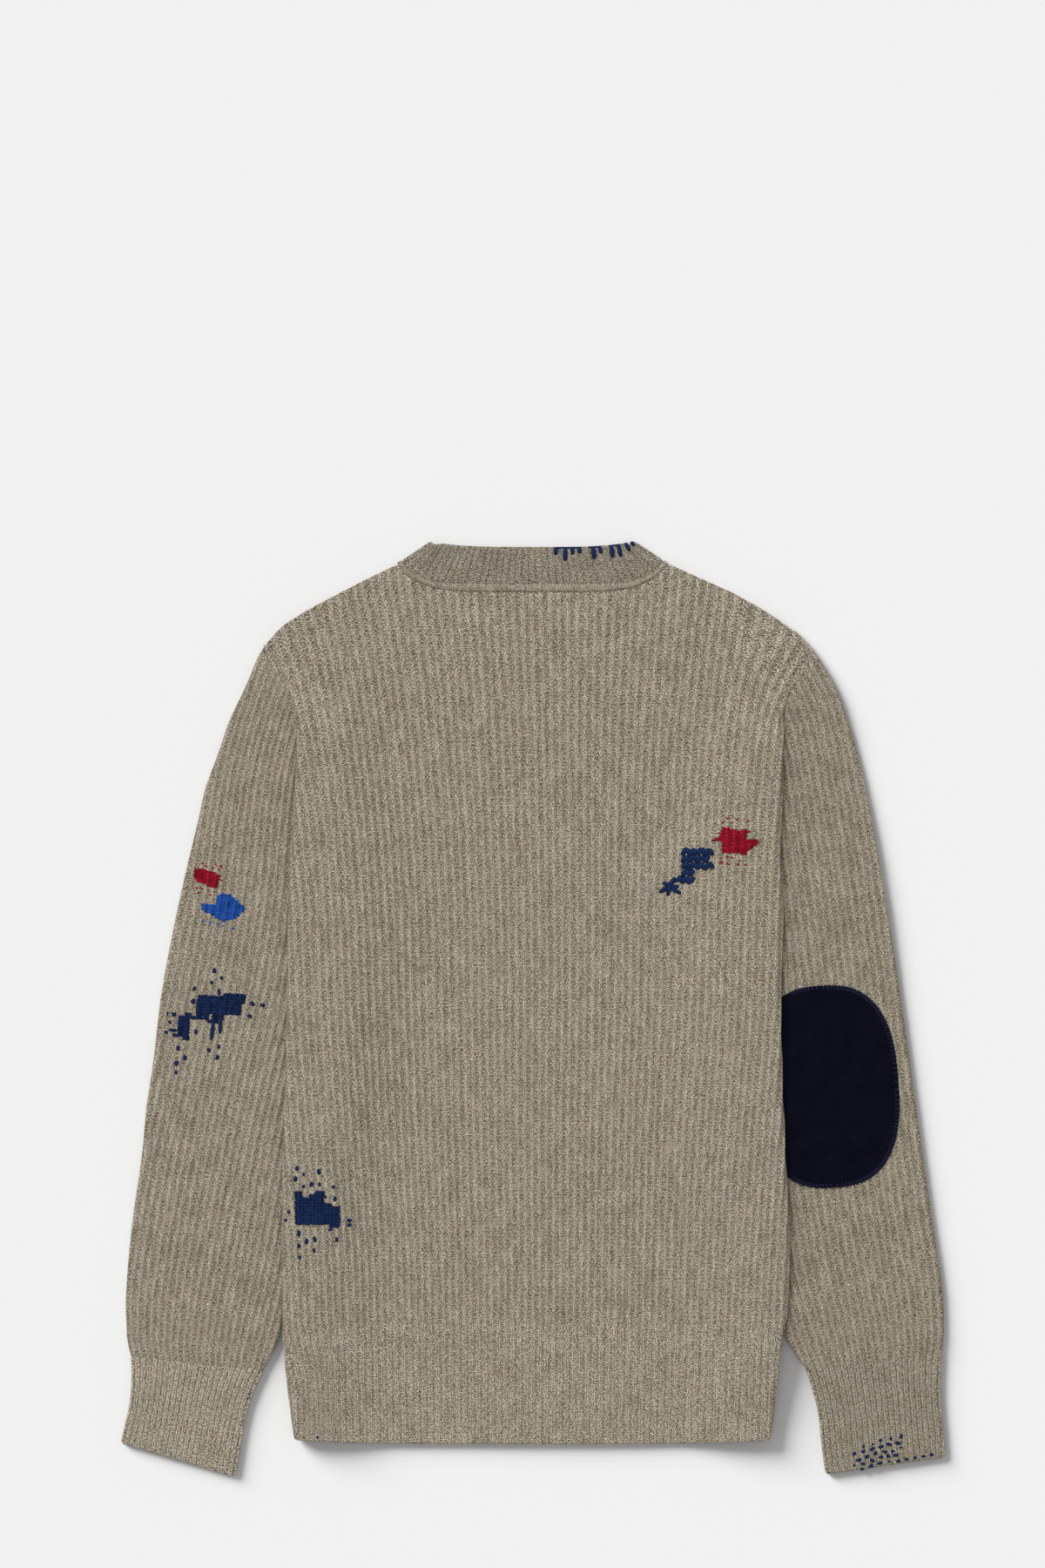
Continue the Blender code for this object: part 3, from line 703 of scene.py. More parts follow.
def sleeve(name, side, table, inner_fold, steps_per_rib, row_count, relief):
    """A sleeve whose sections run from its outer fold to the armhole or, below the underarm, to its inner fold."""
    shares, way = along(columns(table, "x", "y"), row_count)
    shares = np.concatenate([shares[:-1], shares[-1] - EDGE_STEPS[::-1]])
    shares = np.sort(shares[(shares <= shares[-1] - EDGE_STEPS[-1]) | np.isin(shares, shares[-len(EDGE_STEPS):])])
    x, y, tilt, width_of_rib, fold_wale = (
        soft_interp(shares, way, values, SLEEVE_SOFTNESS)
        for values in columns(table, "x", "y", "tilt", "pitch", "wale").T
    )
    tilt = np.radians(tilt)
    ways = np.stack([-side * np.cos(tilt), -np.sin(tilt)], axis=-1)
    starts = np.stack([x, y], axis=-1) + ways * WALL / 2
    armhole = armhole_line(side)
    fold = np.pad(columns(inner_fold, "x", "y"), ((0, 0), (0, 1)))
    last = fold[-1] + (fold[-1] - fold[-2])
    line = np.concatenate([armhole, fold[1:], [last]])
    wales = np.arange(SLEEVE_WALES[0] * steps_per_rib, SLEEVE_WALES[1] * steps_per_rib + 1) / steps_per_rib
    rows = []
    for start, direction, rib, on_fold in zip(starts, ways, width_of_rib, fold_wale):
        distance, place = first_hit(start, direction, line)
        closed = place > len(armhole) - 1
        if distance == math.inf:
            distance = 1.0
        distance = max(distance - (WALL / 2 if closed else SEAM_GAP), 0.3)
        reach = tube_reach(distance, closed)
        seam_z = np.interp(place, np.arange(len(line)), line[:, 2])
        lift = 0 if closed else seam_z - TUBE_MIDDLE - TUBE_RADIUS
        layers = []
        for face in (-1, 1):
            arc = np.concatenate([np.clip((wales - face * on_fold) * rib, 0, max(reach - EDGE_STEPS[-1], 0)),
                                  np.maximum(reach - EDGE_STEPS[-2::-1], 0)])
            inward, height = tube_place(arc, distance, closed)
            flat_x, flat_y = start[0] + direction[0] * inward, start[1] + direction[1] * inward
            rise = 0
            if face > 0:
                rise = lift * smooth(distance - 26, distance - 1, inward) - trough(side, flat_x, flat_y, *DENT)
            z = TUBE_MIDDLE + face * height + rise
            layers.append((np.stack([flat_x, flat_y, z], axis=-1), on_fold + face * arc / rib, reach - arc))
        rows.append([np.concatenate([lower[::-1], upper]) for lower, upper in zip(*layers)])
    places, count, from_seam = (np.array([row[index] for row in rows]) for index in range(3))
    from_cuff = (shares[-1] - shares)[:, None]
    rim = edge_form(from_seam, *SIDE_EDGE) * edge_form(from_cuff, *SEAM_EDGE)
    rib = (rib_form(count) - FORM_MEAN) * smooth(0, 4, from_seam) * smooth(0, 2, from_cuff)
    groove = trough(side, places[..., 0], places[..., 1], *GROOVE) * (places[..., 2] > TUBE_MIDDLE)
    above, below = wall_faces(rim, rib, relief)
    return cloth(name, places, wale_uv(count, BODY_RIB, -shares[:, None]), above - groove, below, side)


def cuff(name, side, table, steps_per_rib, row_count, relief):
    """A cuff whose sections run from its outer fold to its inner fold."""
    _, way = along(columns(table, "outer_x", "outer_y"), row_count)
    shares = edged_rows(way[-1], row_count)
    starts, ends = (
        np.stack([soft_interp(shares, way, values, CUFF_SOFTNESS) for values in columns(table, *names).T], axis=-1)
        for names in (("outer_x", "outer_y"), ("inner_x", "inner_y"))
    )
    count = np.arange(0, CUFF_RIBS * steps_per_rib + 1) / steps_per_rib
    corner = CUFF_CORNER * (1 - edge_form(way[-1] - shares, 3.5))
    rows = []
    for start, end, pull in zip(starts, ends, corner):
        direction = (end - start) / np.linalg.norm(end - start)
        width = np.linalg.norm(end - start) - WALL - 2 * pull
        arc = count / CUFF_RIBS * tube_reach(width, True)
        inward, height = tube_place(arc, width, True)
        inward = inward + WALL / 2 + pull
        flat = [start[axis] + direction[axis] * inward for axis in (0, 1)]
        rows.append([np.stack([*flat, TUBE_MIDDLE + face * height], axis=-1) for face in (1, -1)])
    upper, lower = (np.array([row[index] for row in rows]) for index in (0, 1))
    places = np.concatenate([lower[:, :0:-1], upper], axis=1)
    count = np.broadcast_to(np.concatenate([-count[:0:-1], count]), places.shape[:2])
    from_seam, from_hem = shares[:, None], (way[-1] - shares)[:, None]
    rim = edge_form(from_seam, *SEAM_EDGE) * edge_form(from_hem, 1.6)
    rib = (split_form(count) - FORM_MEAN) * smooth(0, 2, np.minimum(from_seam, from_hem))
    return cloth(name, places, wale_uv(count, CUFF_RIB, -shares[:, None]), *wall_faces(rim, rib, relief), side)


# Neckband and trim: flattened rings

BAND_DEPTH = 28.6
TRIM_DEPTHS = np.array((0, 0.3, 0.8, 1.6, 2.6, 3.6, 4.6, 5.4, 5.9, 6.2))
TRIM_RIBS, TRIM_ARCH = 60, 1.0


def neck_run(line, wall, share):
    """Places round one neck line. share runs from -1 to 1 over the back, on to 3 round the front."""
    back = np.clip(share, -1, 1)
    angle = np.clip((share - 1) / 2, 0, 1) * math.pi
    x = line.half_width * np.where(share <= 1, back, np.cos(angle))
    layer_y = np.where(share <= 1, neck_y(line, x, 0), line.side_y - (line.side_y - line.front_y) * np.sin(angle))
    inset = (TUBE_RADIUS + wall / 2) * smooth(0.86, 1, np.abs(x / line.half_width))
    x = x - np.sign(x) * inset * NECK_FOLD[0]
    layer_y = layer_y - inset * NECK_FOLD[1]
    z = wall / 2 + np.where(share <= 1, 2 * TUBE_RADIUS, 0)
    return np.stack([x, layer_y, z], axis=-1)


def neck_loop(line, wall, back_shares, front_shares, spread):
    """The whole closed run: the back, the right fold, the front and the left fold."""
    back_shares = back_shares * (1 + spread) - spread * back_shares**5
    back = neck_run(line, wall, back_shares)
    front = neck_run(line, wall, front_shares)
    front[:, 2] = wall / 2
    folds = []
    for start, end, side in ((back[-1], front[0], 1), (front[-1], back[0], -1)):
        angle = np.linspace(0, math.pi, FOLD_STEPS)[1:-1]
        out = TUBE_RADIUS * np.sin(angle)
        middle, half = (start + end) / 2, (start - end) / 2
        fold = middle + half * np.cos(angle)[:, None]
        fold[:, 0] += side * out * NECK_FOLD[0]
        fold[:, 1] += out * NECK_FOLD[1]
        folds.append(fold)
    return np.concatenate([back, folds[0], front, folds[1], back[:1]])


def neck_sheet(name, outer, inner, wall, rib_shape, ribs, steps_per_rib, depths, relief, arch, spread, least):
    """A ring between two neck lines. depths run from its top edge, arch is how far its middle stands up, spread
    is for its top edge, and least is what is left of the wall there."""
    back_shares = np.linspace(-1, 1, ribs * steps_per_rib + 1)
    front_shares = np.linspace(1, 3, ribs * 3 + 1)
    top = neck_loop(inner, wall, back_shares, front_shares, spread)
    base = neck_loop(outer, wall, back_shares, front_shares, 0)
    share = depths / depths[-1]
    places = top + (base - top) * share[:, None, None]
    back_count = back_shares * ribs / 2
    fold_shares = np.linspace(0, 1, FOLD_STEPS)
    front_count = np.linspace(ribs / 2 + 1, 1.5 * ribs + 1, len(front_shares))
    count = np.concatenate([back_count, ribs / 2 + fold_shares[1:-1], front_count, front_count[-1] + fold_shares[1:]])
    count = np.broadcast_to(count, places.shape[:2])
    from_ends = np.minimum(depths, depths[-1] - depths)[:, None]
    rim = edge_form(depths, 1.6, least)[:, None] * edge_form(depths[-1] - depths, 1.6, 0.4)[:, None]
    rib = rib_shape(count) * smooth(0, 2.5, from_ends)
    above = wall_faces(rim, rib - FORM_MEAN, relief, wall)[0] + arch * np.sin(math.pi * share)[:, None] ** 0.7
    below = np.broadcast_to(wall_faces(rim, wall=wall)[1], places.shape[:2])
    return cloth(name, places, wale_uv(count, BAND_RIB, -depths[:, None]), above, below)


# Elbow patch


def patch_edge(angle):
    """Points of the patch's outline, a turned oval with full corners, from the patch's middle."""
    c, s = np.cos(angle), np.sin(angle)
    x = PATCH_HALF[0] * np.sign(c) * np.abs(c) ** (2 / PATCH_POWER)
    y = PATCH_HALF[1] * np.sign(s) * np.abs(s) ** (2 / PATCH_POWER)
    return np.stack(turned(x, y, PATCH_TURN), axis=-1)


def elbow_patch(name, sides, rings):
    """The patch in rings from its edge to its middle, with a groove where its rim is sewn down."""
    angle = np.linspace(0, 2 * math.pi, sides + 1)
    outline = patch_edge(angle)
    reach = np.hypot(*outline.T)
    depths = np.concatenate([PATCH_RIM_STEPS, np.linspace(8, PATCH_HALF[0], rings)])
    share = np.clip(1 - depths[:, None] / reach, 0, 1)
    share[-1] = 0
    depth = reach * (1 - share)
    level = TUBE_HEIGHT + SEAM_GAP + PATCH_WALL / 2 + 0.1
    x, y = PATCH_MIDDLE[0] + share * outline[:, 0], PATCH_MIDDLE[1] + share * outline[:, 1]
    groove = np.exp(-(((depth - PATCH_SEWN) / 0.55) ** 2))
    places = np.stack([x, y, np.full(x.shape, level)], axis=-1)
    places[-1] = (*PATCH_MIDDLE, level)
    above = 0.1 + (PATCH_WALL / 2 + 0.35) * edge_form(depth, 1.2) - 0.45 * groove - 0.25 * smooth(3, 6, depth)
    below = 0.1 + (PATCH_WALL / 2 - 0.1) * edge_form(depth, 1.2)
    uv = np.stack([x, y], axis=-1) * MM
    return cloth(name, *(grid[::-1, ::-1] for grid in (places, uv, above, below)))


# Stitches of yarn: x and y of the middle, angle in degrees, length, thickness, and 1 where others cover it, which
# lies lower and is painted in shade

Stitch = namedtuple("Stitch", "x y angle length thick sunk", defaults=(0,))
PLY_SHIFT = 0.0137  # metres by which each stitch's twist starts further along the yarn


def unit_stitch():
    """A rounded bar from -1 to 1 along X: its points, its faces, and how far aside each face corner lies. It is
    shaped from a sphere, whose middle is made fuller."""
    bpy.ops.object.select_all(action="DESELECT")
    bpy.ops.mesh.primitive_uv_sphere_add(segments=8, ring_count=7, radius=1)
    ball = bpy.context.active_object
    points = np.array([tuple(vertex.co) for vertex in ball.data.vertices])[:, (2, 0, 1)]
    faces = [tuple(face.vertices) for face in ball.data.polygons]
    bpy.data.objects.remove(ball)
    girth = np.hypot(points[:, 1], points[:, 2])
    points[:, 1:] *= (np.maximum(girth, 1e-6) ** -0.4)[:, None]
    points[girth < 1e-4, 1:] = 0
    aside = np.concatenate([points[list(face), 1] for face in faces])
    return points, faces, aside


def heading(angle):
    """The level direction at an angle in degrees."""
    return np.array((math.cos(math.radians(angle)), math.sin(math.radians(angle))))


def surface_of(names):
    """The faces of the named pieces, to drop stitches on."""
    points, faces = [], []
    for name in names:
        mesh = bpy.data.objects[name].data
        places = np.empty(len(mesh.vertices) * 3)
        mesh.vertices.foreach_get("co", places)
        faces += [[corner + len(points) for corner in face.vertices] for face in mesh.polygons]
        points += places.reshape(-1, 3).tolist()
    return BVHTree.FromPolygons(points, faces)


def height_at(surface, x, y):
    """Height of the cloth at a place, or None beside it."""
    hit = surface.ray_cast(Vector((x * MM, y * MM, 0.1)), Vector((0, 0, -1)))[0]
    return None if hit is None else hit.z / MM


def lay_stitches(name, stitches, pieces, material, slot):
    """Copies the unit stitch to each place, bent along the cloth, with both ends sunk into it."""
    points, faces, aside_share = unit_stitch()
    surface = surface_of(pieces)
    corners = np.concatenate([np.array(face) for face in faces])
    all_points, all_faces, all_uv = [], [], []
    for stitch in stitches:
        way = heading(stitch.angle)
        shares = np.linspace(-1, 1, 5)
        spots = [height_at(surface, *(np.array(stitch[:2]) + way * share * stitch.length * 0.45)) for share in shares]
        known = [spot for spot in spots if spot is not None]
        if not known:
            continue
        level = np.interp(points[:, 0], shares, [min(known) if spot is None else spot for spot in spots])
        level = (level + np.mean(known)) / 2
        # Both ends dip into the cloth, and sunk stitches lie lower
        half = stitch.thick / 2
        along, aside, up = points[:, 0] * stitch.length / 2, points[:, 1] * half, points[:, 2] * half * 0.8
        place = np.stack([
            stitch.x + way[0] * along - way[1] * aside,
            stitch.y + way[1] * along + way[0] * aside,
            level + up + half * (0.5 - 0.35 * stitch.sunk - 1.1 * points[:, 0] ** 4),
        ], axis=-1)
        first = len(all_points) * len(points)
        all_points.append(place * MM)
        all_faces += [[corner + first for corner in face] for face in faces]
        # v of the UV map carries painted shade: how far aside the corner lies, and 1 all over a sunk stitch
        shade = aside_share * (1 - stitch.sunk) + stitch.sunk
        all_uv.append(np.stack([along[corners] * MM + PLY_SHIFT * (len(all_points) % 29), shade], axis=-1))
    mesh = bpy.data.meshes.new(name)
    mesh.from_pydata(np.concatenate(all_points), [], all_faces)
    mesh.uv_layers.new(name="UVMap").data.foreach_set("uv", np.concatenate(all_uv).ravel())
    mesh.shade_smooth()
    item = bpy.data.objects.new(name, mesh)
    bpy.context.scene.collection.objects.link(item)
    put_in(item, material, slot)


# Darns: outlines are filled with rows, row_gap apart, that have a stitch each step. slants are the stitches' angles
# in turn, in degrees from the rows, brick is the share of a step by which every second row is shifted, turn is the
# rows' own angle, and a stitch has to fit into the outline with inset of its length on both sides of its middle.
# holes are left open. Strays are single stitches beside the outlines, as in Stitch, and runs are rows of them.

Darn = namedtuple(
    "Darn", "name piece yarn row_gap step length thick slants brick turn inset outlines strays runs holes",
    defaults=(1, 1, 1, 1, (0,), 0, 0, 0, (), (), (), ()),
)
Run = namedtuple("Run", "x y end_x end_y count length thick angle")
HOLE_RADIUS = 1.7
OPEN_DARN_THICK = 3  # darns in yarn of this thickness or more have nothing under their stitches

RED_BACK = (
    (141, 135), (145.5, 138), (148.5, 137.5), (152, 136), (165.5, 135.5), (164.5, 133.5), (161.5, 133),
    (161.5, 129.5), (166.5, 128), (171.5, 130), (171.5, 126.5), (170, 123.5), (166, 122.5), (163, 119),
    (161, 115.5), (158, 116), (153, 118), (143, 118), (142, 119.5), (143, 123), (142.5, 126), (138, 126.5),
    (134.5, 126.5), (136.5, 130), (140.5, 130),
)
RED_SLEEVE = (
    (-257, 104), (-253, 106.5), (-250, 107), (-245.5, 104.5), (-239, 103.5), (-236.5, 100.5), (-237.5, 95.5),
    (-239.5, 91.5), (-244.5, 92.5), (-250, 95), (-254.5, 96.5), (-257, 99.5),
)
BLUE_SLEEVE = (
    (-250.5, 80), (-248.5, 80.5), (-244, 80.5), (-239, 79), (-238.5, 86), (-236.5, 87.5), (-230, 87), (-225, 84),
    (-222, 81.5), (-215.5, 76), (-218, 74.5), (-221.5, 71.5), (-224.5, 68.5), (-229, 67), (-233.5, 66),
    (-237.5, 67.5), (-242.5, 70.5), (-246.5, 72.5), (-250, 74.5),
)
NAVY_BACK = (
    (113.5, 122.8), (134.5, 122.3), (138.5, 118.5), (134.5, 115.8), (134.5, 110.5), (139, 107.8), (136, 106),
    (123, 106), (122, 102), (124, 98), (122, 95.2), (112.5, 95.2), (109, 99), (112, 104.5), (112.5, 108),
)
NAVY_SLEEVE = (
    (-255, 8), (-250, 12), (-238, 11.5), (-224.5, 11.5), (-218, 11), (-218, 4.5), (-220, 1.5), (-221, -4),
    (-228, -6), (-233.5, -3), (-234.5, -7), (-238, -10.5), (-245.5, -10), (-251, -8.5), (-253.5, -10), (-258, -7),
    (-257, -4.5), (-254, -1.5), (-255.5, 4),
)
NAVY_FOREARM = (
    (-268.5, -4), (-259, -3), (-258.5, -6), (-260.5, -14), (-261, -23.5), (-263.5, -23.5), (-271.5, -21),
    (-272, -18.5), (-269.5, -16.5), (-269, -11.5),
)
NAVY_HIP = (
    (-179.5, -135), (-177, -135), (-176, -140), (-170, -141), (-163.5, -138), (-159.5, -136), (-154.5, -135.5),
    (-154.5, -136.5), (-158.5, -139.5), (-158, -144.5), (-153.5, -148), (-149, -146.5), (-146, -148),
    (-144.5, -156), (-144.5, -165), (-149, -166), (-153.5, -167), (-156, -160.5), (-160, -162.5), (-165.5, -163.5),
    (-175.5, -163.5), (-178.5, -162), (-178, -155.5), (-179.5, -149), (-178.5, -144),
)

DARNS = (
    Darn(
        "back_red_darn", "back_panel_knit", "red_yarn", row_gap=1.3, step=2.2, length=3.0, thick=1.35,
        slants=(12, -14, 8), brick=0.5, inset=0.4, outlines=(RED_BACK,),
        strays=(
            (147.5, 144.5, 5, 3.2, 1.3), (154.5, 143.5, -20, 2.6, 1.3), (162.5, 142, 30, 2.9, 1.3),
            (144, 141.5, 5, 2.8, 1.3), (150.5, 141, 0, 2.3, 1.1), (142.5, 114.5, 20, 1.8, 1.2),
            (147, 115.5, 10, 2.4, 1.3), (150.5, 114.5, -45, 2.6, 1.3), (142.5, 111, 0, 4.4, 1.3),
            (147.5, 110, -15, 3.2, 1.3), (156.5, 112.5, -60, 1.8, 1.2), (155, 109.5, -35, 2.8, 1.3),
            (161, 109.5, 0, 2.2, 1.1),
        ),
    ),
    Darn(
        "sleeve_red_darn", "left_sleeve_knit", "red_yarn", row_gap=1.3, step=2.0, length=2.8, thick=1.35,
        slants=(22, -20, 9), brick=0.5, turn=-14, inset=0.35, outlines=(RED_SLEEVE,),
        strays=(
            (-235.5, 97.5, 0, 3.0, 1.1), (-250, 110, -15, 2.8, 1.1), (-247, 108, -50, 3.0, 1.1),
            (-240, 109.5, -40, 2.8, 1.1), (-236, 108, 15, 3.0, 1.2), (-242, 106.5, 10, 2.2, 1.1),
            (-237.5, 105.5, -20, 1.8, 1.1), (-255.5, 106.5, 0, 1.6, 1.0), (-254, 91.5, -35, 2.8, 1.1),
            (-250, 91, 0, 2.5, 1.1), (-245.5, 90, -10, 2.2, 1.1), (-253, 88, 20, 2.2, 1.2),
            (-244, 86.5, -25, 2.2, 1.2), (-241, 88.5, 0, 1.6, 1.0),
        ),
    ),
    Darn(
        "sleeve_blue_darn", "left_sleeve_knit", "blue_yarn", row_gap=1.75, step=1.35, length=2.4, thick=1.35,
        slants=(50, 130), turn=-6, inset=0.3, outlines=(BLUE_SLEEVE,),
        strays=(
            (-250, 66.5, 15, 2.6, 1.3), (-244, 65.5, 10, 2.6, 1.2), (-238.5, 64.5, -10, 2.6, 1.2),
            (-234, 63, 0, 2.6, 1.2), (-227, 61, -10, 3.4, 1.2),
        ),
    ),
    Darn(
        "back_navy_darn", "back_panel_knit", "navy_yarn", row_gap=5.3, step=2.85, length=6.9, thick=3.8,
        slants=(61, 119), inset=0.2, outlines=(NAVY_BACK,),
        strays=(
            (110.5, 98.5, 35, 8, 3.4), (105.8, 96.5, 52, 9, 3.4), (108, 92.5, 12, 6.5, 3.3),
            (101.3, 94.6, -22, 6.5, 3.2), (103, 89.8, 80, 9.4, 3.3), (99.2, 90.4, 33, 8.8, 3.2),
            (108.6, 89.4, -28, 9.6, 3.2),
        ),
    ),
    Darn(
        "sleeve_navy_darn", "left_sleeve_knit", "navy_yarn", row_gap=2.3, step=2.0, length=3.5, thick=1.9,
        slants=(52, 128), turn=-3, inset=0.2, outlines=(NAVY_SLEEVE, NAVY_FOREARM),
        strays=(
            (-237.5, 13, 85, 5.5, 2.2), (-242.5, -16.5, 84, 15, 3.0), (-236.5, -12.5, 86, 13, 2.9),
            (-272.5, -16, -5, 7, 2.4), (-241, 29, 80, 4.2, 2.8), (-235.5, 23.5, 80, 3.2, 2.4),
            (-243, 20, 75, 3.2, 2.4), (-256, 15.5, 75, 3.6, 2.4), (-257, 6, 60, 4.2, 3.2), (-212, 4, -45, 4.4, 3.2),
            (-204.5, 3, -10, 3.9, 2.8), (-214, -5.5, -20, 4.2, 3.0), (-271.5, -4, 0, 3.8, 3.2),
            (-276.5, -3.5, 90, 3.0, 1.4), (-274.5, -10, 45, 2.8, 2.6), (-277.5, -17.5, 0, 3.0, 2.4),
            (-255, -17, 80, 3.8, 2.6), (-268.5, -29.5, 90, 4.6, 2.8), (-263, -37, 80, 4.2, 3.0),
            (-269.5, -41, 80, 4.4, 3.2), (-270, -48, 0, 3.2, 2.8), (-245, -31, 0, 3.2, 2.8),
            (-237.5, -28.5, 90, 3.6, 2.6), (-238.5, -36.5, 80, 4.0, 3.0),
        ),
        holes=((-250.1, -5.2), (-244.1, -5.7), (-238.6, -6.3)),
    ),
    Darn(
        "hip_navy_darn", "back_panel_knit", "navy_yarn", row_gap=2.3, step=2.7, length=4.2, thick=2.2,
        slants=(38, 142), inset=0.2, outlines=(NAVY_HIP,),
        strays=(
            (-178, -120, 80, 3.8, 2.6), (-173, -124.5, 80, 3.0, 2.0), (-161.5, -122.5, 90, 4.8, 2.7),
            (-179, -128, 75, 4.6, 2.8), (-167, -132, 75, 4.4, 3.0), (-161, -132, 100, 3.2, 2.3),
            (-173, -133.5, 80, 3.2, 2.4), (-150.5, -134, 100, 3.2, 2.2), (-156.5, -141.5, 90, 3.0, 2.2),
            (-149.5, -143, 85, 4.2, 2.5), (-184, -153, -40, 3.0, 2.0), (-186.5, -159, 10, 3.0, 2.4),
            (-138.5, -159.5, 0, 4.0, 2.8), (-138.5, -163, 0, 4.0, 2.6), (-176.5, -169, 85, 5.0, 2.9),
            (-170.5, -175, 85, 4.8, 2.8), (-164.5, -173.5, 100, 4.6, 2.7), (-148, -174, 90, 4.0, 2.5),
            (-176.5, -178.5, 85, 4.0, 2.6), (-165, -182, 85, 3.4, 2.3), (-176, -187, 0, 3.0, 2.6),
        ),
    ),
    Darn(
        "cuff_navy_darn", "right_cuff_knit", "navy_yarn",
        strays=(
            (250.5, -331, 80, 3.0, 2.0), (257.5, -329.5, 80, 2.2, 1.6), (243.5, -345.5, 15, 2.2, 1.8),
            (278.5, -332, 20, 2.2, 1.5), (270, -342.5, 10, 2.6, 1.4),
        ),
        runs=(
            Run(263.5, -326.5, 279, -323.5, 3, 3.2, 2.3, 55),
            Run(243.5, -336.5, 263.8, -331.3, 4, 4.2, 2.5, 30),
            Run(269.8, -329.5, 276.6, -328.5, 2, 4.6, 2.5, -8),
            Run(247, -341.2, 259.6, -336.2, 3, 4.4, 2.5, 27),
            Run(266.6, -335.1, 272.6, -334.6, 2, 4.0, 2.2, -8),
            Run(250.2, -344.1, 257.1, -341.7, 2, 3.8, 2.6, -15),
            Run(263.8, -339.1, 275, -337.6, 3, 4.0, 2.3, 0),
            Run(249.6, -348.2, 262.8, -343.7, 3, 4.2, 2.4, 15),
            Run(277, -342, 302.2, -337.3, 5, 3.4, 2.3, 15),
        ),
    ),
    Darn(
        "hem_navy_stitch", "back_hem_rib_knit", "navy_yarn",
        strays=(
            (-162.7, -323.5, 70, 2.6, 1.5),
        ),
    ),
    Darn(
        "left_cuff_specks", "left_cuff_knit", "navy_yarn",
        strays=(
            (-214.2, -291.7, 80, 2.4, 1.2), (-215.6, -294.8, 70, 1.8, 1.0),
        ),
    ),
)

# Blanket stitches over the neckband's top edge: place along it, how far the lower end leans, depth, thickness
EdgeStitch = namedtuple("EdgeStitch", "x lean depth thick")
EDGE_STITCHES = (
    EdgeStitch(18.0, -0.6, 6.0, 3.3),
    EdgeStitch(24.9, -0.4, 10.9, 3.6),
    EdgeStitch(30.3, 0.2, 5.8, 3.0),
    EdgeStitch(35.4, 0.4, 5.2, 3.0),
    EdgeStitch(45.5, 1.3, 9.8, 3.6),
    EdgeStitch(50.7, 1.0, 5.8, 3.0),
    EdgeStitch(59.5, 1.2, 9.9, 3.5),
    EdgeStitch(65.0, 1.8, 9.8, 3.4),
    EdgeStitch(70.4, 3.2, 6.4, 3.2),
    EdgeStitch(74.6, 2.6, 3.2, 2.6),
)
# Where the yarn runs along the edge between them, from x to x, in short pieces of one thickness
EDGE_RUNS = ((16.8, 38), (42, 54), (57.5, 67), (69, 77))
EDGE_YARN, EDGE_STEP, EDGE_LENGTH = 1.5, 2.4, 3.8


def edge_stitches():
    """The blanket stitches, and the yarn that runs on from one to the next along the edge."""
    stitches = []
    for mark in EDGE_STITCHES:
        top = float(neck_y(BAND_TOP, mark.x, 0)) - 0.2
        length = math.hypot(mark.lean, mark.depth) + 0.6
        angle = math.degrees(math.atan2(-mark.depth, mark.lean))
        stitches.append(Stitch(mark.x + mark.lean / 2, top - mark.depth / 2, angle, length, mark.thick))
    for start, end in EDGE_RUNS:
        for x in np.arange(start + EDGE_YARN, end - 1, EDGE_STEP):
            ahead, here = (float(neck_y(BAND_TOP, place, 0)) for place in (x + 1, x))
            angle = math.degrees(math.atan(ahead - here))
            stitches.append(Stitch(x, here - EDGE_YARN / 2, angle, EDGE_LENGTH, EDGE_YARN))
    return stitches


def inside(outline, x, y):
    """Whether a place lies inside a closed outline."""
    crossings = 0
    for (start_x, start_y), (end_x, end_y) in zip(outline, outline[1:] + outline[:1]):
        if (start_y > y) != (end_y > y) and x < start_x + (end_x - start_x) * (y - start_y) / (end_y - start_y):
            crossings += 1
    return crossings % 2 == 1


def filled(darn):
    """Rows of stitches inside a darn's outlines, with flat ones under them, painted in shade, that close the gaps."""
    turn = math.radians(darn.turn)
    stitches = []
    for outline in darn.outlines:
        local = np.array([turned(x, y, -turn) for x, y in outline])
        low, high = local.min(axis=0), local.max(axis=0)
        for row in range(int((high[1] - low[1]) / darn.row_gap) + 1):
            for place in range(int((high[0] - low[0]) / darn.step) + 2):
                shift = 0.12 * math.sin(row * 2.4 + place * 1.7)
                x = low[0] + (place + darn.brick * (row % 2) + shift * 0.6) * darn.step
                y = low[1] + (row + 0.5 + shift * 0.5) * darn.row_gap
                angle = darn.slants[place % len(darn.slants)] + darn.turn + 5 * math.sin(row * 1.9 + place * 4.1)
                x, y = turned(x, y, turn)
                way = heading(angle) * darn.length * darn.inset
                if any(math.hypot(x - hole_x, y - hole_y) < HOLE_RADIUS for hole_x, hole_y in darn.holes):
                    continue
                if inside(outline, x - way[0], y - way[1]) and inside(outline, x + way[0], y + way[1]):
                    length = darn.length * (1 + 0.1 * math.sin(row * 5.3 + place * 2.9))
                    stitches.append(Stitch(x, y, angle, length, darn.thick))
                    if place % 2 and darn.thick < OPEN_DARN_THICK:
                        # A flat stitch under every second one, which the yarn's material paints in shade
                        stitches.append(Stitch(x, y, darn.turn, darn.step * 2.6, darn.row_gap * 1.1, 1))
    return stitches


# Materials

# Sockets that have to be picked by number: outputs of texture coordinates, and colours of a mix node
UV_OUT, OBJECT_OUT = 2, 3
MIX_LOW, MIX_HIGH, MIXED_OUT = 6, 7, 2


